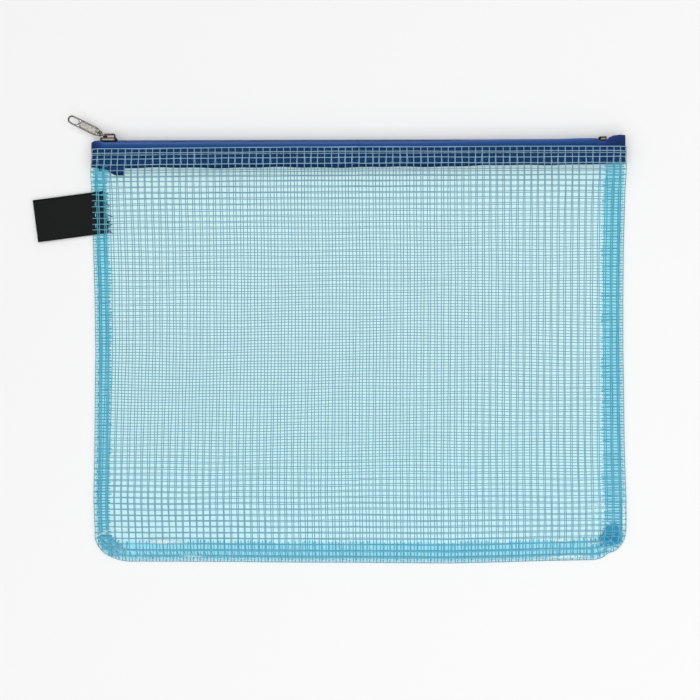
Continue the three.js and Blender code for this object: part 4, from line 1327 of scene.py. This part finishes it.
def seam_stitches(name, low, high):
    """Dashes that cross between the two turned-in edges just inside the outline."""
    s = stitch_places(low, high, SEAM_STITCH_PITCH)
    x, y, out_x, out_y = seam_frame(s)
    place = settle(x - out_x * 0.5, y - out_y * 0.5, seam_middle(y))
    ahead = np.stack([-out_y, out_x, 0 * s], axis=-1)
    up = np.broadcast_to(AXIS_Z, place.shape)
    paths = stitch_dashes(place, ahead, up, SEAM_STITCH_LENGTH)
    return make_mesh(name, thread_tubes(paths, THREAD), seam_thread)


hem_left = hem_stitches("front_hem_stitch_left", front_sheet, 1, -HEM_ROW_END, 0)
hem_right = hem_stitches("front_hem_stitch_right", front_sheet, 1, 0, HEM_ROW_END)
hem_back = hem_stitches("back_hem_stitches", back_sheet, -1, -HEM_ROW_END, HEM_ROW_END)
left_sewing = seam_stitches("left_seam_stitches", ALONG[0] + SEAM_ROW_TOP, ALONG[1])
right_sewing = seam_stitches("right_seam_stitches", ALONG[4], ALONG[5] - SEAM_ROW_TOP)
bottom_sewing = seam_stitches("bottom_seam_stitches", ALONG[2], ALONG[3])

# %% [markdown]
# The label is a bare black satin ribbon folded in half and caught in the left seam. It
# droops a little to the left, and its cut ends show through the film, frayed into loose
# strands.

# %% Label
LABEL_WIDTH = 20.0
LABEL_OUT = 27.9
LABEL_IN = 5.6
LABEL_CLOTH = 0.26
LABEL_GAP = 0.06
LABEL_BELOW_COIL = 34.0
LABEL_Y = COIL_TOP - LABEL_BELOW_COIL
LABEL_Z = 1.35
LABEL_DROOP = 7.5
LABEL_CURL = 0.5
STRAND_WIDTH = 0.3
RIBBON_BLACK = "#101211"
RIBBON_SHEEN = "#232726"


def ribbon_material():
    """Black damask ribbon: fine crosswise ribs with a satin lustre."""
    material, tree = new_material("black satin ribbon")
    place = add_node(tree, "ShaderNodeUVMap", uv_map="UVMap")
    ribs = {"Vector": place, "Scale": 0.8, "Distortion": 0.3}
    rib = add_node(tree, "ShaderNodeTexWave", ribs, bands_direction="X").outputs[1]
    grain = {"Vector": place, "Scale": 1.3, "Detail": 3.0}
    mottle = add_node(tree, "ShaderNodeTexNoise", grain)
    weave = add_node(tree, "ShaderNodeMath", {0: rib, 1: mottle}, operation="MULTIPLY")
    ends = {0: weave, 6: paint(RIBBON_BLACK), 7: paint(RIBBON_SHEEN)}
    relief = {"Height": weave, "Distance": 0.06 * MM, "Strength": 0.5}
    cloth = {
        "Base Color": add_node(tree, "ShaderNodeMix", ends, data_type="RGBA").outputs[2],
        "Roughness": 0.6,
        "Specular IOR Level": 0.08,
        "Normal": add_node(tree, "ShaderNodeBump", relief),
    }
    body = add_node(tree, "ShaderNodeBsdfPrincipled", cloth)
    add_node(tree, "ShaderNodeOutputMaterial", {"Surface": body})
    return material


ribbon = ribbon_material()


def label_frame(along, across, z):
    """Points of the label from its own axes: along runs out of the seam, turned to the left
    by the droop, and across runs up the seam. The free end curls up a little."""
    angle = math.pi + math.radians(LABEL_DROOP)
    x = -HALF + along * math.cos(angle) - across * math.sin(angle)
    y = LABEL_Y + along * math.sin(angle) + across * math.cos(angle)
    curl = LABEL_CURL * smooth((along - 4) / 22) * (1 + 0.5 * np.sin(across / 7))
    return np.stack([x, y, LABEL_Z + z + curl], axis=-1)


def label_piece():
    """Folded ribbon as one closed strip: its line runs out on the upper side, round the fold
    and back on the lower side, and its thickness is set off square to that line."""
    radius = LABEL_CLOTH / 2 + LABEL_GAP / 2
    run = np.linspace(-LABEL_IN, LABEL_OUT - radius, 30)
    turn = np.linspace(0, np.pi, 9)[1:-1]
    along = np.concatenate([run, LABEL_OUT - radius + radius * np.sin(turn), run[::-1]])
    level = np.concatenate([0 * run + radius, radius * np.cos(turn), 0 * run - radius])
    section, length = thicken(np.stack([along, level], axis=-1), LABEL_CLOTH / 2)
    out, up = section.T[:, None]
    across = np.linspace(-LABEL_WIDTH / 2, LABEL_WIDTH / 2, 15)[:, None]
    inside = smooth((-2 - out) / 5)
    ragged = (0.8 * np.sin(across * 1.9) + 0.6 * np.sin(across * 0.7 + 1)) * inside
    across = across + 0 * ragged
    points = label_frame(out + ragged, across, up)
    uv = np.stack([length + 0 * across, across], axis=-1)
    return make_mesh("label_ribbon", (points, swept_quads(*ragged.shape)), ribbon, uv)


def label_strands():
    """Loose warp ends at the label's cut edge: short thin tubes that lean away."""
    across = np.array([-9.2, -8.1, -6.4, -3.9, -1.5, 1.2, 4.6, 6.9, 8.8, 9.3])[:, None]
    reach = np.array([2.6, 1.8, 1.2, 2.3, 1.0, 3.0, 1.6, 2.8, 1.4, 2.2])[:, None]
    lean = np.array([0.9, -0.5, 0.8, 1.3, -0.6, 1.5, 0.4, -0.9, 0.5, 1.2])[:, None]
    u = np.linspace(0, 1, 8)[None, :]
    paths = label_frame(-LABEL_IN + 0.4 - reach * u, across + lean * u**1.5, 0.12 * np.sin(3 * u))
    return make_mesh("label_strands", thread_tubes(paths, STRAND_WIDTH), ribbon)


label = label_piece()
strands = label_strands()

# %% [markdown]
# The front halves have their placing baked into their points, and every other piece is tied
# to the root body that it moves with. The imported solids that they stand for are hidden.

for piece in (left_film, left_net, front_tape_left, front_coil_left, hem_left):
    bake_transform(piece)
for piece in (right_film, right_net, front_tape_right, front_coil_right, hem_right):
    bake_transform(piece)
riders = [back_film, back_net, back_tape, back_coil, hem_back, label, strands]
riders += [tail, seam_bead, left_tuck, right_tuck]
riders += [left_sewing, right_sewing, bottom_sewing]
riders += [*seam_films.values(), *seam_nets.values()]
for piece in riders:
    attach(piece, "root")

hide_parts("front_panel")
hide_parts("front_panel")
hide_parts("back_panel")
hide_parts("back_tape")
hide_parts("front_tape")
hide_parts("front_tape")
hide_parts("back_coil")
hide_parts("front_coil")
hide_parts("front_coil")
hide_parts("front_hem_stitch")
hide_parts("front_hem_stitch")
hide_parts("back_hem_stitch")
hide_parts("side_label")
for side_name in SEAM_PARTS:
    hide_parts(f"{side_name}_seam")
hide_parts("left_seam_stitch")
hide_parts("right_seam_stitch")
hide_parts("bottom_seam_stitch")

# %% Width of the tape
tape_width = float(tape_section()[1].max())
